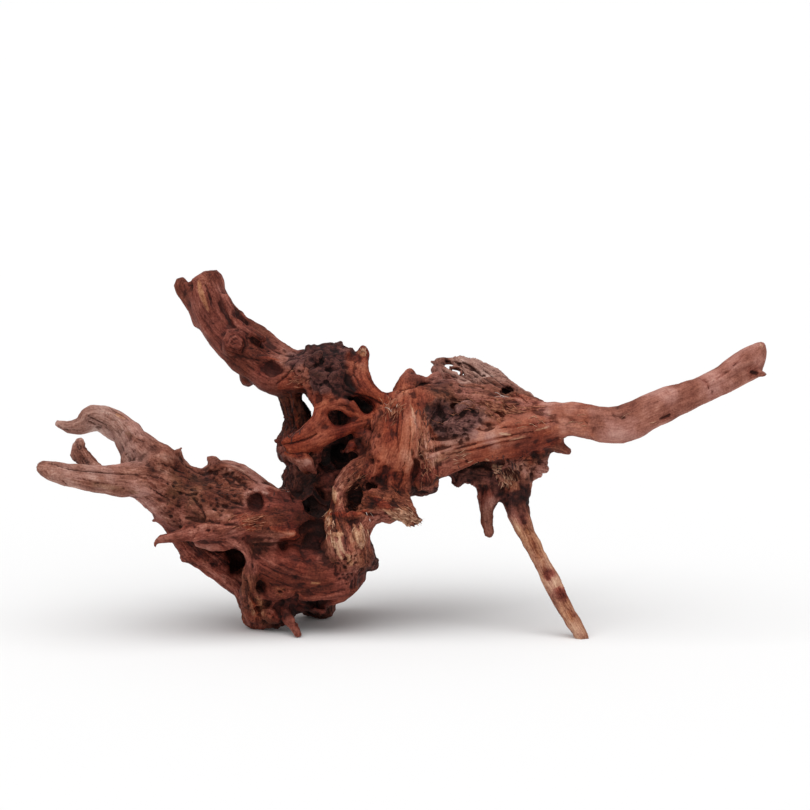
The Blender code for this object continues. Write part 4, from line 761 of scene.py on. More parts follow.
def rubbed(points, edges, rounds, hold=0.53):
    """The points after smoothing; with hold they keep their volume, and without it they sink."""
    for _ in range(rounds):
        points = points + (neighbours_mean(points, edges) - points) * 0.5
        if hold:
            points = points - (neighbours_mean(points, edges) - points) * hold
    return points


def evaluated(piece):
    """What a piece's modifiers make of its mesh, as a new mesh."""
    depsgraph = bpy.context.evaluated_depsgraph_get()
    return bpy.data.meshes.new_from_object(piece.evaluated_get(depsgraph))


def new_piece(name, mesh):
    """A piece in the scene with this mesh."""
    piece = bpy.data.objects.new(name, mesh)
    bpy.context.scene.collection.objects.link(piece)
    return piece


def mesh_from(shell, name):
    """The finished mesh of a shell that was built up face by face."""
    mesh = bpy.data.meshes.new(name)
    shell.to_mesh(mesh)
    shell.free()
    return mesh


def tube(shell, points, radii, sides=8, flat=1.0):
    """Adds a closed, tapered strand along points in millimetres, with rings as wide as the radii say."""
    _, beside, over = turned_frames(points)
    turns = [math.tau * k / sides for k in range(sides)]
    rings = []
    for place, radius, side, top in zip(points, radii, beside, over):
        rings.append([
            shell.verts.new((place + (side * math.cos(turn) + top * math.sin(turn) * flat) * radius) * MM)
            for turn in turns
        ])
    for ring, following in zip(rings, rings[1:]):
        for k in range(sides):
            shell.faces.new((ring[k], ring[(k + 1) % sides], following[(k + 1) % sides], following[k]))
    shell.faces.new(list(reversed(rings[0])))
    shell.faces.new(rings[-1])


def largest_part(mesh):
    """Removes whatever isn't joined to the largest part of a mesh."""
    shell = bmesh.new()
    shell.from_mesh(mesh)
    left = set(shell.verts)
    groups = []
    while left:
        group = [left.pop()]
        for vert in group:
            for edge in vert.link_edges:
                other = edge.other_vert(vert)
                if other in left:
                    left.remove(other)
                    group.append(other)
        groups.append(group)
    groups.sort(key=len, reverse=True)
    bmesh.ops.delete(shell, geom=[vert for group in groups[1:] for vert in group], context="VERTS")
    shell.to_mesh(mesh)
    shell.free()


class Skin:
    """The skin of the root as it is at one stage, with ways to find places on it."""

    def __init__(self, mesh):
        points = mesh_points(mesh)
        self.tree = BVHTree.FromPolygons(points.tolist(), [face.vertices[:] for face in mesh.polygons])

    def front(self, across, up):
        """The point and the normal that the front view shows at across and up, or nothing."""
        way = (seen(across, up, 0) - EYE).normalized()
        place, normal, _, _ = self.tree.ray_cast(EYE, way)
        return (np.array(place), np.array(normal)) if place else None

    def nearest(self, point):
        """The place on the skin nearest to a point, and the normal there."""
        place, normal, _, _ = self.tree.find_nearest(Vector(point))
        return np.array(place), np.array(normal)

    def route(self, spots, step=0.8):
        """Points on the skin along a route of (across, up), with the parts that miss the root left out."""
        line = []
        for (a, b), (c, d) in zip(spots, spots[1:]):
            steps = max(1, round(math.hypot(c - a, d - b) / step))
            for k in range(steps + 1):
                hit = self.front(a + (c - a) * k / steps, b + (d - b) * k / steps)
                if hit:
                    line.append(hit[0])
        return line


def chance_way(draw, most):
    """A drawn direction that reaches at most this far along each axis."""
    return np.array([draw.uniform(-most, most) for _ in range(3)])


def wandering_route(skin, start, lines, length, draw):
    """A line on the skin that sets off at a point and keeps to the grain."""
    place, _ = skin.nearest(start)
    _, limbs, spots = follow_grain(place[None], lines)
    _, _, ways, _, _, lengths, _, _ = lines[limbs[0, 0]]
    at = float(spots[0, 0, 0])
    turn = draw.choice((-1, 1))
    line = [place]
    for _ in range(round(length / WANDER_STEP)):
        way = ways[int(np.clip(np.searchsorted(lengths, at), 0, len(ways) - 1))]
        place, _ = skin.nearest(place + (way * turn + chance_way(draw, 0.3)) * WANDER_STEP)
        at += WANDER_STEP * turn
        line.append(place)
    return line


def wild_marks(skin, points, limbs, lines):
    """Cracks, pits and raised fibres all over the root, as (width, height, paint, line).

    Limbs with a strong relief get more of them than smooth ones.
    """
    draw = random.Random(SEED)
    marks = []
    for kind, wanted in WILD_MARKS.items():
        made = 0
        while made < wanted:
            pick = draw.randrange(len(points))
            if draw.random() > lines[limbs[pick, 0]][7] - 0.3:
                continue
            made += 1
            place = points[pick]
            if kind == "crack":
                marks.append((draw.uniform(0.8, 1.3), -draw.uniform(0.5, 1.3), "shade",
                              wandering_route(skin, place, lines, draw.uniform(8, 30), draw)))
            elif kind == "fibre":
                marks.append((draw.uniform(0.9, 1.6), draw.uniform(0.3, 0.8), "light",
                              wandering_route(skin, place, lines, draw.uniform(8, 26), draw)))
            else:
                size = draw.uniform(0.9, 2.0)
                marks.append((size, -size * draw.uniform(0.4, 0.8), "shade", [skin.nearest(place)[0]]))
    for spot, reach, wanted in SPONGY:
        heart = np.array(seen(*spot))
        near = np.flatnonzero(np.linalg.norm(points - heart, axis=1) < reach)
        for _ in range(wanted):
            size = draw.uniform(0.9, 2.0)
            rise = -size * draw.uniform(0.5, 0.9)
            marks.append((size, rise, "shade", [points[near[draw.randrange(len(near))]]]))
    return marks


def drawn_marks(skin):
    """The marks that the front side is known for, as (width, height, paint, line)."""
    return [(width, height, paint, skin.route(route)) for width, height, paint, route in MARKS]


def covers(points, marks):
    """For each mark the points it touches and how strongly, from 0 at its edge to 1 on its line."""
    tree = KDTree(len(points))
    for number, point in enumerate(points):
        tree.insert(point, number)
    tree.balance()
    found = []
    for widest, _, _, line in marks:
        touched = {}
        for step, place in enumerate(line):
            along = (step + 0.5) / len(line)
            width = widest * (0.55 + 0.45 * min(1, 4 * along, 4 * (1 - along)))
            for _, number, apart in tree.find_range(place, width):
                share = 1 - (apart / width) ** 2
                if share > touched.get(number, 0):
                    touched[number] = share
        found.append((np.fromiter(touched.keys(), int), np.fromiter(touched.values(), float)))
    return found


def limb_blend(scores):
    """How much the second limb counts at each point: a half where both are equally near, and less elsewhere."""
    return 0.5 * (1 - eased(scores[:, 1] - scores[:, 0], 0.0, 0.45))


def painted(mixed, paint, share):
    """The finish at each point after this much of a paint; one that only shades leaves the shares of wood."""
    share = share[:, None]
    kept = np.array([0, 0, 0, 0, 0, 0] if paint in SHADES else [1, 1, 1, 1, 0, 1])
    return mixed * (1 - share * kept) + np.array(PAINTS[paint]) * share


def finishes(points, scores, limbs, lines):
    """Each point's finish, how deep its relief is and how far its patches raise it.

    A finish is the shares of bark, peel, grey and pale wood, how dark it is and how earthy.
    """
    beside = limb_blend(scores)[:, None]
    shares = np.array([(*line[6], 0.0) for line in lines])
    depths = np.array([line[7] for line in lines])
    mixed = shares[limbs[:, 0]] * (1 - beside) + shares[limbs[:, 1]] * beside
    depth = depths[limbs[:, 0]] * (1 - beside[:, 0]) + depths[limbs[:, 1]] * beside[:, 0]
    raised = np.zeros(len(points))
    ragged = 0.35 * waves(points / 6) + 0.2 * waves(points / 2.6)
    for paint, strength, spot, reach, rise in PATCHES:
        apart = np.linalg.norm(points - np.array(seen(*spot)), axis=1) / reach
        share = 1 - eased(apart + ragged, 0.45, 1.15)
        raised += rise * (1 - eased(apart, 0.3, 1.2))
        mixed = painted(mixed, paint, share * strength)
    return np.clip(mixed, -1, 1), depth, raised


def relief(points, scores, limbs, places, bark, depth):
    """How far the grain, the cracks and the bark raise the skin at each point, in millimetres."""
    beside = limb_blend(scores)
    bend = np.stack([np.zeros(len(points)), waves(points / 17) * 2.6, waves(points / 17 + 40) * 2.6], 1)
    height = np.zeros(len(points))
    for which, share in ((0, 1 - beside), (1, beside)):
        spot = places[:, which] + bend + limbs[:, which, None] * LIMB_SHIFT
        cords = waves(spot / CORDS)
        crests = 0.42 - 1.5 * np.abs(waves(spot / CRESTS + 11))
        strands = waves(spot / STRANDS + 23)
        split = 1 - np.clip(np.abs(waves(spot / SPLITS + 37)) / 0.06, 0, 1)
        height += share * (0.7 * cords + 0.5 * crests + 0.25 * strands - 1.0 * split ** 2)
    mask = eased(waves(points / 21 + 5), -0.35, 0.35)
    lumps = 0.9 * waves(points / 13 + 9) - 1.6 * np.abs(waves(points / 9.5 + 3)) + 0.4
    height = height * (0.55 + 0.45 * mask) * depth + lumps * eased(depth, 0.35, 0.9) * 0.75
    height *= 1 - 0.6 * bark
    # Bark is knobbly in some places and finely cracked in the others
    veins = 0.6 - 2.1 * np.abs(waves(points / 7.5 + 15)) + 0.5 * waves(points / 2.6 + 8)
    knobs = (np.abs(waves((points + bend) / 9.5 + 61)) * 4.6
             + np.abs(waves((points + bend) / 4.2 + 71)) * 1.5 - 1.6)
    gnarled = eased(waves(points / 12 + 33), -0.5, 0.0)
    return height + bark * (gnarled * knobs + (1 - gnarled) * veins) + 0.2 * depth * waves(points / 1.7)


def round_ended(points, radii):
    """A line with both its ends drawn in, so that a strand along it ends round."""
    start = points[0] + (points[0] - points[1]) / np.linalg.norm(points[0] - points[1]) * radii[0] * 0.6
    end = points[-1] + (points[-1] - points[-2]) / np.linalg.norm(points[-1] - points[-2]) * radii[-1] * 0.6
    return np.array([start, *points, end]), np.array([radii[0] * 0.55, *radii, radii[-1] * 0.55])


def grown_root():
    """The dense skin of the whole root, from the frame's solid and the fine forms, as one closed mesh."""
    shell = bmesh.new()
    shell.from_mesh(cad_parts["driftwood_root"].data)
    bmesh.ops.remove_doubles(shell, verts=shell.verts, dist=0.01 * MM)
    for stations in FINE_FORMS.values():
        tube(shell, *round_ended(*line_through(stations, FORM_STEP)), 12)
    bmesh.ops.recalc_face_normals(shell, faces=shell.faces)
    piece = new_piece("root_raw", mesh_from(shell, "root_raw"))
    remesh = piece.modifiers.new("Grown together", "REMESH")
    remesh.mode = "VOXEL"
    remesh.voxel_size = SKIN_VOXEL * MM
    dense = evaluated(piece)
    bpy.data.objects.remove(piece)
    largest_part(dense)
    points = rubbed(mesh_points(dense), mesh_edges(dense), 5)
    set_points(dense, worn_round(points, mesh_edges(dense)))
    return dense


def worn_round(points, edges, rounds=22):
    """The points after the whole skin is made a little uneven and the rims of the hollows are worn down."""
    share = np.zeros(len(points))
    for spot, reach in WORN_RIMS:
        apart = np.linalg.norm(points - np.array(seen(*spot)), axis=1) / reach
        share = np.maximum(share, 1 - eased(apart, 0.6, 1.3))
    bent = np.stack([waves(points / 8.5 + shift) for shift in (71, 83, 97)], 1)
    points = points + bent * (0.2 + 2.6 * share)[:, None]
    for _ in range(rounds):
        points = points + (neighbours_mean(points, edges) - points) * 0.6 * share[:, None]
    return points


def thinned(mesh):
    """The same skin with fewer faces, closer together where it bends."""
    piece = new_piece("root_dense", mesh)
    fewer = piece.modifiers.new("Fewer faces", "DECIMATE")
    fewer.ratio = SKIN_TRIANGLES / sum(len(face.vertices) - 2 for face in mesh.polygons)
    fewer.use_collapse_triangulate = True
    made = evaluated(piece)
    bpy.data.objects.remove(piece)
    largest_part(made)
    return made


def sheltered(skin, points, normals, reach=16.0, rays=14):
    """How closed in the skin is at each point: the share of rays that meet wood within reach, which the
    material turns into painted shade.
    """
    draw = np.random.default_rng(SEED)
    ways = draw.normal(size=(rays, 3))
    ways /= np.linalg.norm(ways, axis=1)[:, None]
    hits = np.zeros(len(points))
    starts = points + normals * 0.25
    for way in ways:
        turned = np.where(((normals @ way) < 0)[:, None], -way, way) + normals * 0.35
        for number in range(len(points)):
            if skin.tree.ray_cast(starts[number], turned[number], reach)[0]:
                hits[number] += 1
    return hits / rays


def store(mesh, name, kind, domain, values):
    """Keeps values on the mesh for the material to read."""
    key = {"FLOAT": "value", "FLOAT_VECTOR": "vector", "FLOAT_COLOR": "color"}[kind]
    layer = mesh.attributes.new(name, kind, domain)
    layer.data.foreach_set(key, values.astype(np.float32).ravel())


def main():
    """Puts the fine skin in the solid's place, adds the fibres and sets up the studio."""
    dense = grown_root()
    skin = Skin(dense)
    lines = grain_lines()
    points = mesh_points(dense)
    normals = mesh_normals(dense)
    scores, limbs, places = follow_grain(points, lines)
    mixed, depth, raised = finishes(points, scores, limbs, lines)
    marks = drawn_marks(skin) + wild_marks(skin, points, limbs, lines)
    raised += relief(points, scores, limbs, places, np.clip(mixed[:, 0], 0, 1), depth)
    for (_, height, _, _), (numbers, shares) in zip(marks, covers(points, marks)):
        if len(numbers) and height:
            raised[numbers] += height * shares ** (1.5 if height < 0 else 1.0)
    points = points + normals * raised[:, None]
    points[:, 2] = np.maximum(points[:, 2], 0)
    set_points(dense, points)
    root = new_piece("root_skin", thinned(dense))
    skin = Skin(root.data)
    finish_skin(root.data, skin, marks, lines)
    for name, tufts in TUFTS.items():
        hairs = hairy_piece(name, skin, tufts)
        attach(hairs, "root")
    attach(root, "root")
    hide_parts("driftwood_root")
    studio()


def finish_skin(mesh, skin, marks, lines):
    """Reads off the finished skin what its material needs, and gives it the material."""
    points = mesh_points(mesh)
    normals = mesh_normals(mesh)
    scores, limbs, places = follow_grain(points, lines)
    mixed, depth, _ = finishes(points, scores, limbs, lines)
    for (_, _, paint, _), (numbers, shares) in zip(marks, covers(points, marks)):
        if len(numbers):
            strength = SOFT_MARK if paint in ("dark", "light") else FULL_MARK
            mixed[numbers] = painted(mixed[numbers], paint, eased(shares, 0.1, 0.9) * strength)
    # Crests are worn and light, and dents are darkened in the material as painted shade, both the narrow ones
    # and the broad ones
    edges = mesh_edges(mesh)
    near = ((points - rubbed(points, edges, 3, 0)) * normals).sum(1)
    far = ((points - rubbed(points, edges, 26, 0)) * normals).sum(1)
    worn = eased(near / 0.22 * 0.5 + far / 1.1 * 0.5, -1.0, 1.0)
    # How closed in each point is, which the material darkens as painted shade in hollows and under overhangs
    closed = sheltered(skin, points, normals)
    store(mesh, "finish", "FLOAT_COLOR", "POINT", np.clip(mixed[:, :4], 0, 1))
    # The second colour kept for the material holds how closed in each point is (painted shade), its crests and
    # dents (crest wear, and painted shade in the dents), how much the paints darken it, partly as painted
    # shade, and how much they lighten it
    wear_and_shade = np.stack([closed, worn, np.clip(mixed[:, 4], 0, 1), np.clip(-mixed[:, 4], 0, 1)], 1)
    store(mesh, "wear_and_shade", "FLOAT_COLOR", "POINT", wear_and_shade)
    store(mesh, "coarse", "FLOAT", "POINT", eased(depth, 0.1, 1.0))
    store(mesh, "earthy", "FLOAT", "POINT", np.clip(mixed[:, 5], 0, 1))
    # The three corners of a face keep to the same two limbs, so that the grain never jumps within a face
    corners = np.empty(len(mesh.loops), np.int32)
    mesh.loops.foreach_get("vertex_index", corners)
    lead = np.repeat(corners.reshape(-1, 3)[:, 0], 3)
    for which, name in ((0, "grain"), (1, "grain_beside")):
        wanted = limbs[lead, which]
        same = limbs[corners, which] == wanted
        other = limbs[corners, 1 - which] == wanted
        spot = np.where(same[:, None], places[corners, which], places[corners, 1 - which])
        lost = ~(same | other)
        spot[lost] = places[lead[lost], which]
        store(mesh, name, "FLOAT_VECTOR", "CORNER", spot + wanted[:, None] * LIMB_SHIFT)
    swapped = limbs[corners, 0] != limbs[lead, 0]
    blend = limb_blend(scores)[corners]
    store(mesh, "beside", "FLOAT", "CORNER", np.where(swapped, 1 - blend, blend))
    mesh.shade_smooth()
    mesh.materials.clear()
    mesh.materials.append(driftwood())


def hair(shell, skin, root, normal, way, length, radius, cling, draw):
    """Adds one tapered, slightly wavy fibre that starts in the wood at root."""
    steps = max(4, round(length / HAIR_STEP))
    way = way + normal * (0.9 * (1 - cling)) + chance_way(draw, 0.35)
    way /= np.linalg.norm(way)
    place = root - normal * 0.5
    line = [place]
    for _ in range(steps):
        way = way + chance_way(draw, 0.22)
        way /= np.linalg.norm(way)
        place = place + way * length / steps
        ground, up = skin.nearest(place)
        resting = ground + up * radius * 0.6
        place = place + (resting - place) * cling
        line.append(place)
    thin = np.sin(np.linspace(0.5, math.pi - 0.06, len(line)))
    tube(shell, np.array(line), radius * thin, 5, 0.7)


def hairy_piece(name, skin, tufts):
    """One piece of loose fibres, each sunk into the wood it grows from."""
    draw = random.Random(name)
    shell = bmesh.new()
    for where, reach, count, way, lengths, radii, cling in tufts:
        heading = np.array(RIGHT * way[0] + LIFT * way[1] + AWAY * way[2])
        made = 0
        for _ in range(count * TRIES):
            hit = skin.front(where[0] + draw.gauss(0, 0.5) * reach[0], where[1] + draw.gauss(0, 0.5) * reach[1])
            if hit and made < count:
                made += 1
                hair(shell, skin, *hit, heading / np.linalg.norm(heading), draw.uniform(*lengths),
                     draw.uniform(*radii), cling, draw)
    mesh = mesh_from(shell, name)
    mesh.shade_smooth()
    mesh.materials.append(fibre(name))
    return new_piece(name, mesh)


def srgb(code):
    """A linear colour from its sRGB hex value."""
    parts = [int(code[i:i + 2], 16) / 255 for i in (1, 3, 5)]
    return (*[p / 12.92 if p <= 0.04045 else ((p + 0.055) / 1.055) ** 2.4 for p in parts], 1)


def add(tree, kind, links=(), stops=(), **settings):
    """Adds a node and gives its outputs.

    Links are sockets or values for its inputs, in order or by name or number. Stops are the places and colours
    of its ramp, and settings are its own properties.
    """
    made = tree.nodes.new("ShaderNode" + kind)
    for name, value in settings.items():
        setattr(made, name, value)
    if stops:
        elements = made.color_ramp.elements
        while len(elements) < len(stops):
            elements.new(0.5)
        for element, (place, colour) in zip(elements, stops):
            element.position = place
            element.color = srgb(colour)
    for name, value in links.items() if isinstance(links, dict) else enumerate(links):
        if isinstance(value, bpy.types.NodeSocket):
            tree.links.new(value, made.inputs[name])
        else:
            made.inputs[name].default_value = value
    return made.outputs


def new_material(name):
    """An empty material with a surface shader, its tree and that shader."""
    made = bpy.data.materials.new(name)
    made.use_nodes = True
    return made, made.node_tree, made.node_tree.nodes["Principled BSDF"]


def along_grain(tree, along, across, detail):
    """Noise in streaks this many millimetres long and wide, along the grain of the two nearest limbs."""
    found = []
    for name in ("grain", "grain_beside"):
        spot = add(tree, "Attribute", attribute_name=name)["Vector"]
        drawn = add(tree, "VectorMath", (spot, (along, across, across)), operation="DIVIDE")[0]
        found.append(add(tree, "TexNoise", {
            "Vector": drawn, "Scale": 1, "Detail": detail, "Roughness": 0.62, "Distortion": 0.35})[0])
    beside = add(tree, "Attribute", attribute_name="beside")["Fac"]
    return add(tree, "Mix", {0: beside, 2: found[0], 3: found[1]}, data_type="FLOAT")[0]


# The colours of each kind of wood, from the dark of its grain to the light, and the tone that each stands for
COATS = {
    "sound": [(0.30, "#5E362F"), (0.45, "#8A564C"), (0.58, "#A76F63"), (0.74, "#C79588")],
    "grey": [(0.30, "#5E423C"), (0.45, "#906C62"), (0.60, "#AE8A7E"), (0.76, "#CCB0A6")],
    "peel": [(0.30, "#54271E"), (0.45, "#8A4937"), (0.60, "#AC684F"), (0.76, "#C98C6F")],
    "pale": [(0.28, "#765040"), (0.45, "#A87C62"), (0.62, "#C8A083"), (0.78, "#E4C6AE")],
    "earth": [(0.30, "#452E20"), (0.45, "#755540"), (0.60, "#97755A"), (0.76, "#BB9A7E")],
    "bark": [(0.28, "#2A1616"), (0.45, "#482929"), (0.60, "#643E3C"), (0.78, "#94695F")],
}

# The wood that shows on worn crests, and the dark colour of the painted shade in dents and closed-in places,
# which also darkens hairline cracks and pores
WORN_WOOD = "#7A5344"
HOLLOW_SHADE_AND_PORES = "#46292A"

# Sizes of the patterns on the skin, in millimetres. Streaks are (length, width). Real pores are about 0.2 wide
# and wouldn't show at this distance, so the grit that stands for them is drawn 1.1 wide, and the finest
# streaks, 0.3 wide on the wood, are drawn 0.8 and 0.55 wide.
BROAD_STREAKS = (34, 3.4)
FINE_STREAKS = (8, 0.8)
FLECKS = (5, 0.55)
HAIRLINES = (46, 4.6)
BLOTCHES = 13
STAINS = 21
GRIT = 1.1
SPECKLES = 2.5


def driftwood():
    """Driftwood: hard root wood, tumbled by water, so it is matt, streaked by its grain and dark in its pits.

    The skin keeps how much bark, peeled, grey and pale wood each point has, its worn crests and its dents, how
    closed in it is (the dents and closed-in places get painted shade), how dark, light, coarse and earthy it
    is, and which way its grain runs.
    """
    made, tree, surface = new_material("driftwood")
    place = add(tree, "NewGeometry")["Position"]
    finish = add(tree, "Attribute", attribute_name="finish")
    wear_and_shade = add(tree, "Attribute", attribute_name="wear_and_shade")
    coarse = add(tree, "Attribute", attribute_name="coarse")["Fac"]
    earth = add(tree, "Attribute", attribute_name="earthy")["Fac"]
    bark, peel, grey = add(tree, "SeparateColor", [finish["Color"]])
    closed, worn, darkened = add(tree, "SeparateColor", [wear_and_shade["Color"]])
    broad = along_grain(tree, *BROAD_STREAKS, 3)
    fine = along_grain(tree, *FINE_STREAKS, 2)
    veins = along_grain(tree, *HAIRLINES, 1.5)
    flecks = along_grain(tree, *FLECKS, 1)
    blotch, grit, stain = (
        add(tree, "TexNoise", {"Vector": place, "Scale": 1 / (size * MM), "Detail": detail})[0]
        for size, detail in ((BLOTCHES, 5), (GRIT, 3), (STAINS, 3))
    )

    # The tone: fine and broad streaks, weaker where the wood is smooth, with grit and blotches over them
    tone = add(tree, "Math", (fine, 0.55, -0.67), operation="MULTIPLY_ADD")[0]
    tone = add(tree, "Math", (broad, 0.8, tone), operation="MULTIPLY_ADD")[0]
    vivid = add(tree, "Math", (coarse, 0.55, 0.45), operation="MULTIPLY_ADD")[0]
    tone = add(tree, "Math", (tone, vivid, 0.23), operation="MULTIPLY_ADD")[0]
    tone = add(tree, "Math", (grit, 0.26, tone), operation="MULTIPLY_ADD")[0]
    tone = add(tree, "Math", (blotch, 0.3, tone), operation="MULTIPLY_ADD")[0]
    coats = {name: add(tree, "ValToRGB", [tone], stops)[0] for name, stops in COATS.items()}

    # Sound wood with earthy stains, where the painted ones and the chance ones are
    stained = add(tree, "MapRange", (stain, 0.42, 0.62, 0, 0.6), interpolation_type="SMOOTHSTEP")[0]
    rough = add(tree, "Math", (coarse, 0.65, 0.35), operation="MULTIPLY_ADD")[0]
    stained = add(tree, "Math", (stained, rough), operation="MULTIPLY")[0]
    patchy = add(tree, "MapRange", (blotch, 0.3, 0.6, 0.4, 1), interpolation_type="SMOOTHSTEP")[0]
    earth = add(tree, "Math", (earth, patchy), operation="MULTIPLY")[0]
    earth = add(tree, "Math", (stained, earth), operation="MAXIMUM")[0]
    colour = add(tree, "Mix", {0: earth, 6: coats["sound"], 7: coats["earth"]}, data_type="RGBA")[2]

    # The other kinds of wood, with ragged borders that follow the streaks
    ragged = add(tree, "Math", (broad, 0.4, fine), operation="MULTIPLY_ADD")[0]
    for name, share, soft in (
        ("grey", grey, 0.9), ("peel", peel, 0.8), ("bark", bark, 0.6), ("pale", finish["Alpha"], 0.5),
    ):
        much = add(tree, "Math", (blotch, 0.5, share), operation="MULTIPLY_ADD")[0]
        much = add(tree, "Math", (ragged, 0.5, much), operation="MULTIPLY_ADD")[0]
        much = add(tree, "MapRange", (much, 1.1 - soft / 2, 1.1 + soft / 2, 0, 1),
                   interpolation_type="SMOOTHSTEP")[0]
        colour = add(tree, "Mix", {0: much, 6: colour, 7: coats[name]}, data_type="RGBA")[2]

    # Light crests and light marks, broken up by the grit, and light flecks on coarse wood
    flecks = add(tree, "MapRange", (flecks, 0.6, 0.7, 0, 1), interpolation_type="SMOOTHSTEP")[0]
    flecks = add(tree, "Math", (flecks, coarse), operation="MULTIPLY")[0]
    lighter = add(tree, "MapRange", (worn, 0.5, 1, 0, 0.4), interpolation_type="SMOOTHSTEP")[0]
    lighter = add(tree, "Math", (lighter, wear_and_shade["Alpha"]), operation="MAXIMUM")[0]
    gritty = add(tree, "MapRange", (grit, 0.35, 0.65, 0.4, 1), interpolation_type="SMOOTHSTEP")[0]
    lighter = add(tree, "Math", (lighter, gritty), operation="MULTIPLY")[0]
    lighter = add(tree, "Math", (flecks, 0.3, lighter), operation="MULTIPLY_ADD")[0]
    colour = add(tree, "Mix", {0: lighter, 6: colour, 7: srgb(WORN_WOOD)},
                 data_type="RGBA", blend_type="SCREEN")[2]

    # Hairline cracks where the veins cross their middle, in some blotches only and most on coarse wood
    hairline = add(tree, "Math", (veins, 0.5), operation="SUBTRACT")[0]
    hairline = add(tree, "Math", [hairline], operation="ABSOLUTE")[0]
    hairline = add(tree, "MapRange", (hairline, 0, 0.013, 0.55, 0), interpolation_type="SMOOTHSTEP")[0]
    cracked = add(tree, "MapRange", (blotch, 0.46, 0.58, 0, 1), interpolation_type="SMOOTHSTEP")[0]
    hairline = add(tree, "Math", (hairline, cracked), operation="MULTIPLY")[0]
    rough = add(tree, "Math", (coarse, 0.75, 0.25), operation="MULTIPLY_ADD")[0]
    hairline = add(tree, "Math", (hairline, rough), operation="MULTIPLY")[0]

    # Painted shade in dents and closed-in places, with the wood's own dark hairline cracks and pores
    pores = add(tree, "MapRange", (grit, 0.4, 0.3, 0, 0.45), interpolation_type="SMOOTHSTEP")[0]
    pores = add(tree, "Math", (pores, coarse), operation="MULTIPLY")[0]
    # Painted shade in the dents, read from the same crests and dents
    dark = add(tree, "MapRange", (worn, 0.5, 0.05, 0, 0.7), interpolation_type="SMOOTHSTEP")[0]
    # Painted shade where the skin is closed in
    shaded = add(tree, "MapRange", (closed, 0.3, 0.95, 0, 0.8), interpolation_type="SMOOTHSTEP")[0]
    for other in (shaded, hairline, pores):
        dark = add(tree, "Math", (dark, other), operation="MAXIMUM")[0]
    # The darkening paints, partly painted shade, and the shade above deepen the colour
    deeper = add(tree, "Math", (darkened, 1.1, 1), operation="MULTIPLY_ADD")[0]
    deeper = add(tree, "Math", (dark, 0.35, deeper), operation="MULTIPLY_ADD")[0]
    uneven = add(tree, "MapRange", (stain, 0.3, 0.7, -0.28, 0.3), interpolation_type="SMOOTHSTEP")[0]
    deeper = add(tree, "Math", (deeper, uneven), operation="ADD")[0]
    colour = add(tree, "Gamma", (colour, deeper))[0]
    dark = add(tree, "Math", (dark, 0.93), operation="MULTIPLY")[0]
    colour = add(tree, "Mix", {0: dark, 6: colour, 7: srgb(HOLLOW_SHADE_AND_PORES)},
                 data_type="RGBA", blend_type="MULTIPLY")[2]
    tree.links.new(colour, surface.inputs["Base Color"])

    # Dry wood has an IOR near 1.5, the shader's own, but its open pores swallow about half of the gloss
    gloss = add(tree, "MapRange", (fine, 0.2, 0.8, 0.88, 0.62), interpolation_type="SMOOTHSTEP")[0]
    tree.links.new(gloss, surface.inputs["Roughness"])
    surface.inputs["Specular IOR Level"].default_value = 0.26
    surface.inputs["Specular Tint"].default_value = srgb("#F0E2DE")
    height = add(tree, "Math", (grit, 0.6, fine), operation="MULTIPLY_ADD")[0]
    height = add(tree, "Math", (hairline, -0.5, height), operation="MULTIPLY_ADD")[0]
    rough = add(tree, "Math", (coarse, 0.7, 0.3), operation="MULTIPLY_ADD")[0]
    height = add(tree, "Math", (height, rough), operation="MULTIPLY")[0]
    bump = add(tree, "Bump", {"Height": height, "Strength": 0.9, "Distance": 0.6 * MM})[0]
    tree.links.new(bump, surface.inputs["Normal"])
    return made


# The darkest and the lightest wood of each kind of fibre
FIBRE_COLOURS = {
    "pale_splinters": ("#7E523E", "#C99A7E"), "red_hairs": ("#6A3628", "#BE7E60"),
    "dark_rootlets": ("#1E1012", "#5A3A36"), "stray_fibres": ("#A89488", "#E6DAD2"),
}


def fibre(name):
    """Torn wood fibre: dry, matt and lighter than the weathered skin, and uneven along its length."""
    made, tree, surface = new_material(name)
    place = add(tree, "NewGeometry")["Position"]
    speckle = add(tree, "TexNoise", {"Vector": place, "Scale": 1 / (SPECKLES * MM), "Detail": 2})[0]
    dark, light = FIBRE_COLOURS[name]
    colour = add(tree, "ValToRGB", [speckle], [(0.36, dark), (0.66, light)])[0]
    tree.links.new(colour, surface.inputs["Base Color"])
    surface.inputs["Roughness"].default_value = 0.8
    surface.inputs["Specular IOR Level"].default_value = 0.25
    return made


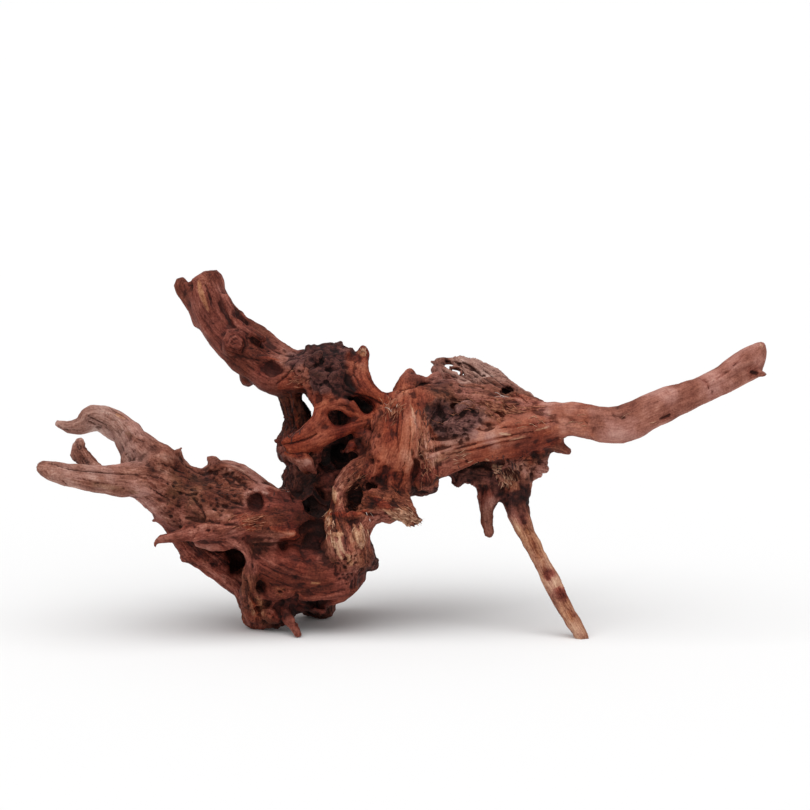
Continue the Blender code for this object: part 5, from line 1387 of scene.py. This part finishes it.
def white_card():
    """White card, pressed from paper pulp and left uncoated, so it is matt and shows soft shadows only."""
    made, _, surface = new_material("pale floor")
    surface.inputs["Base Color"].default_value = srgb("#F0F0F0")
    surface.inputs["Roughness"].default_value = 0.9
    surface.inputs["Specular IOR Level"].default_value = 0
    return made


# The studio's light: how bright the room is for the wood and how bright its far wall looks, and the lamps as
# (name, how far it is tilted and turned in degrees, how wide it looks in degrees, how strong it is)
ROOM_LIGHT = 0.42
WALL_LIGHT = 1.0
LAMPS = (("softbox", 20, -24, 75, 2.3), ("window", 62, 64, 60, 0.3))
FLOOR_REACH = 60


def studio():
    """A plain pale floor, soft light from above and in front, and the camera at the photograph's angle."""
    scene = bpy.context.scene
    scene.view_settings.view_transform = "Standard"
    world = bpy.data.worlds.new("pale room")
    scene.world = world
    world.use_nodes = True
    tree = world.node_tree
    room = tree.nodes["Background"]
    room.inputs["Color"].default_value = srgb("#FFFFFF")
    room.inputs["Strength"].default_value = ROOM_LIGHT
    # Behind the floor stands a far wall as pale as the floor, which sends little light to the wood
    wall = add(tree, "Background", (srgb("#FFFFFF"), WALL_LIGHT))[0]
    sight = add(tree, "LightPath")["Is Camera Ray"]
    either = add(tree, "MixShader", (sight, room.outputs[0], wall))[0]
    tree.links.new(either, tree.nodes["World Output"].inputs[0])
    shell = bmesh.new()
    bmesh.ops.create_grid(shell, x_segments=1, y_segments=1, size=FLOOR_REACH)
    floor = new_piece("floor", mesh_from(shell, "floor"))
    floor.data.materials.append(white_card())
    for name, tilt, turn, width, power in LAMPS:
        light = bpy.data.lights.new(name, "SUN")
        light.angle = math.radians(width)
        light.energy = power
        lamp = bpy.data.objects.new(name, light)
        lamp.rotation_euler = (math.radians(tilt), 0, math.radians(turn))
        scene.collection.objects.link(lamp)
    lens = bpy.data.cameras.new("camera")
    lens.sensor_width = 36
    lens.lens = lens.sensor_width * VIEW_DISTANCE / VIEW_WIDTH
    lens.clip_end = 200
    camera = bpy.data.objects.new("camera", lens)
    camera.location = EYE * MM
    camera.rotation_euler = AWAY.to_track_quat("-Z", "Y").to_euler()
    scene.collection.objects.link(camera)
    scene.camera = camera


main()
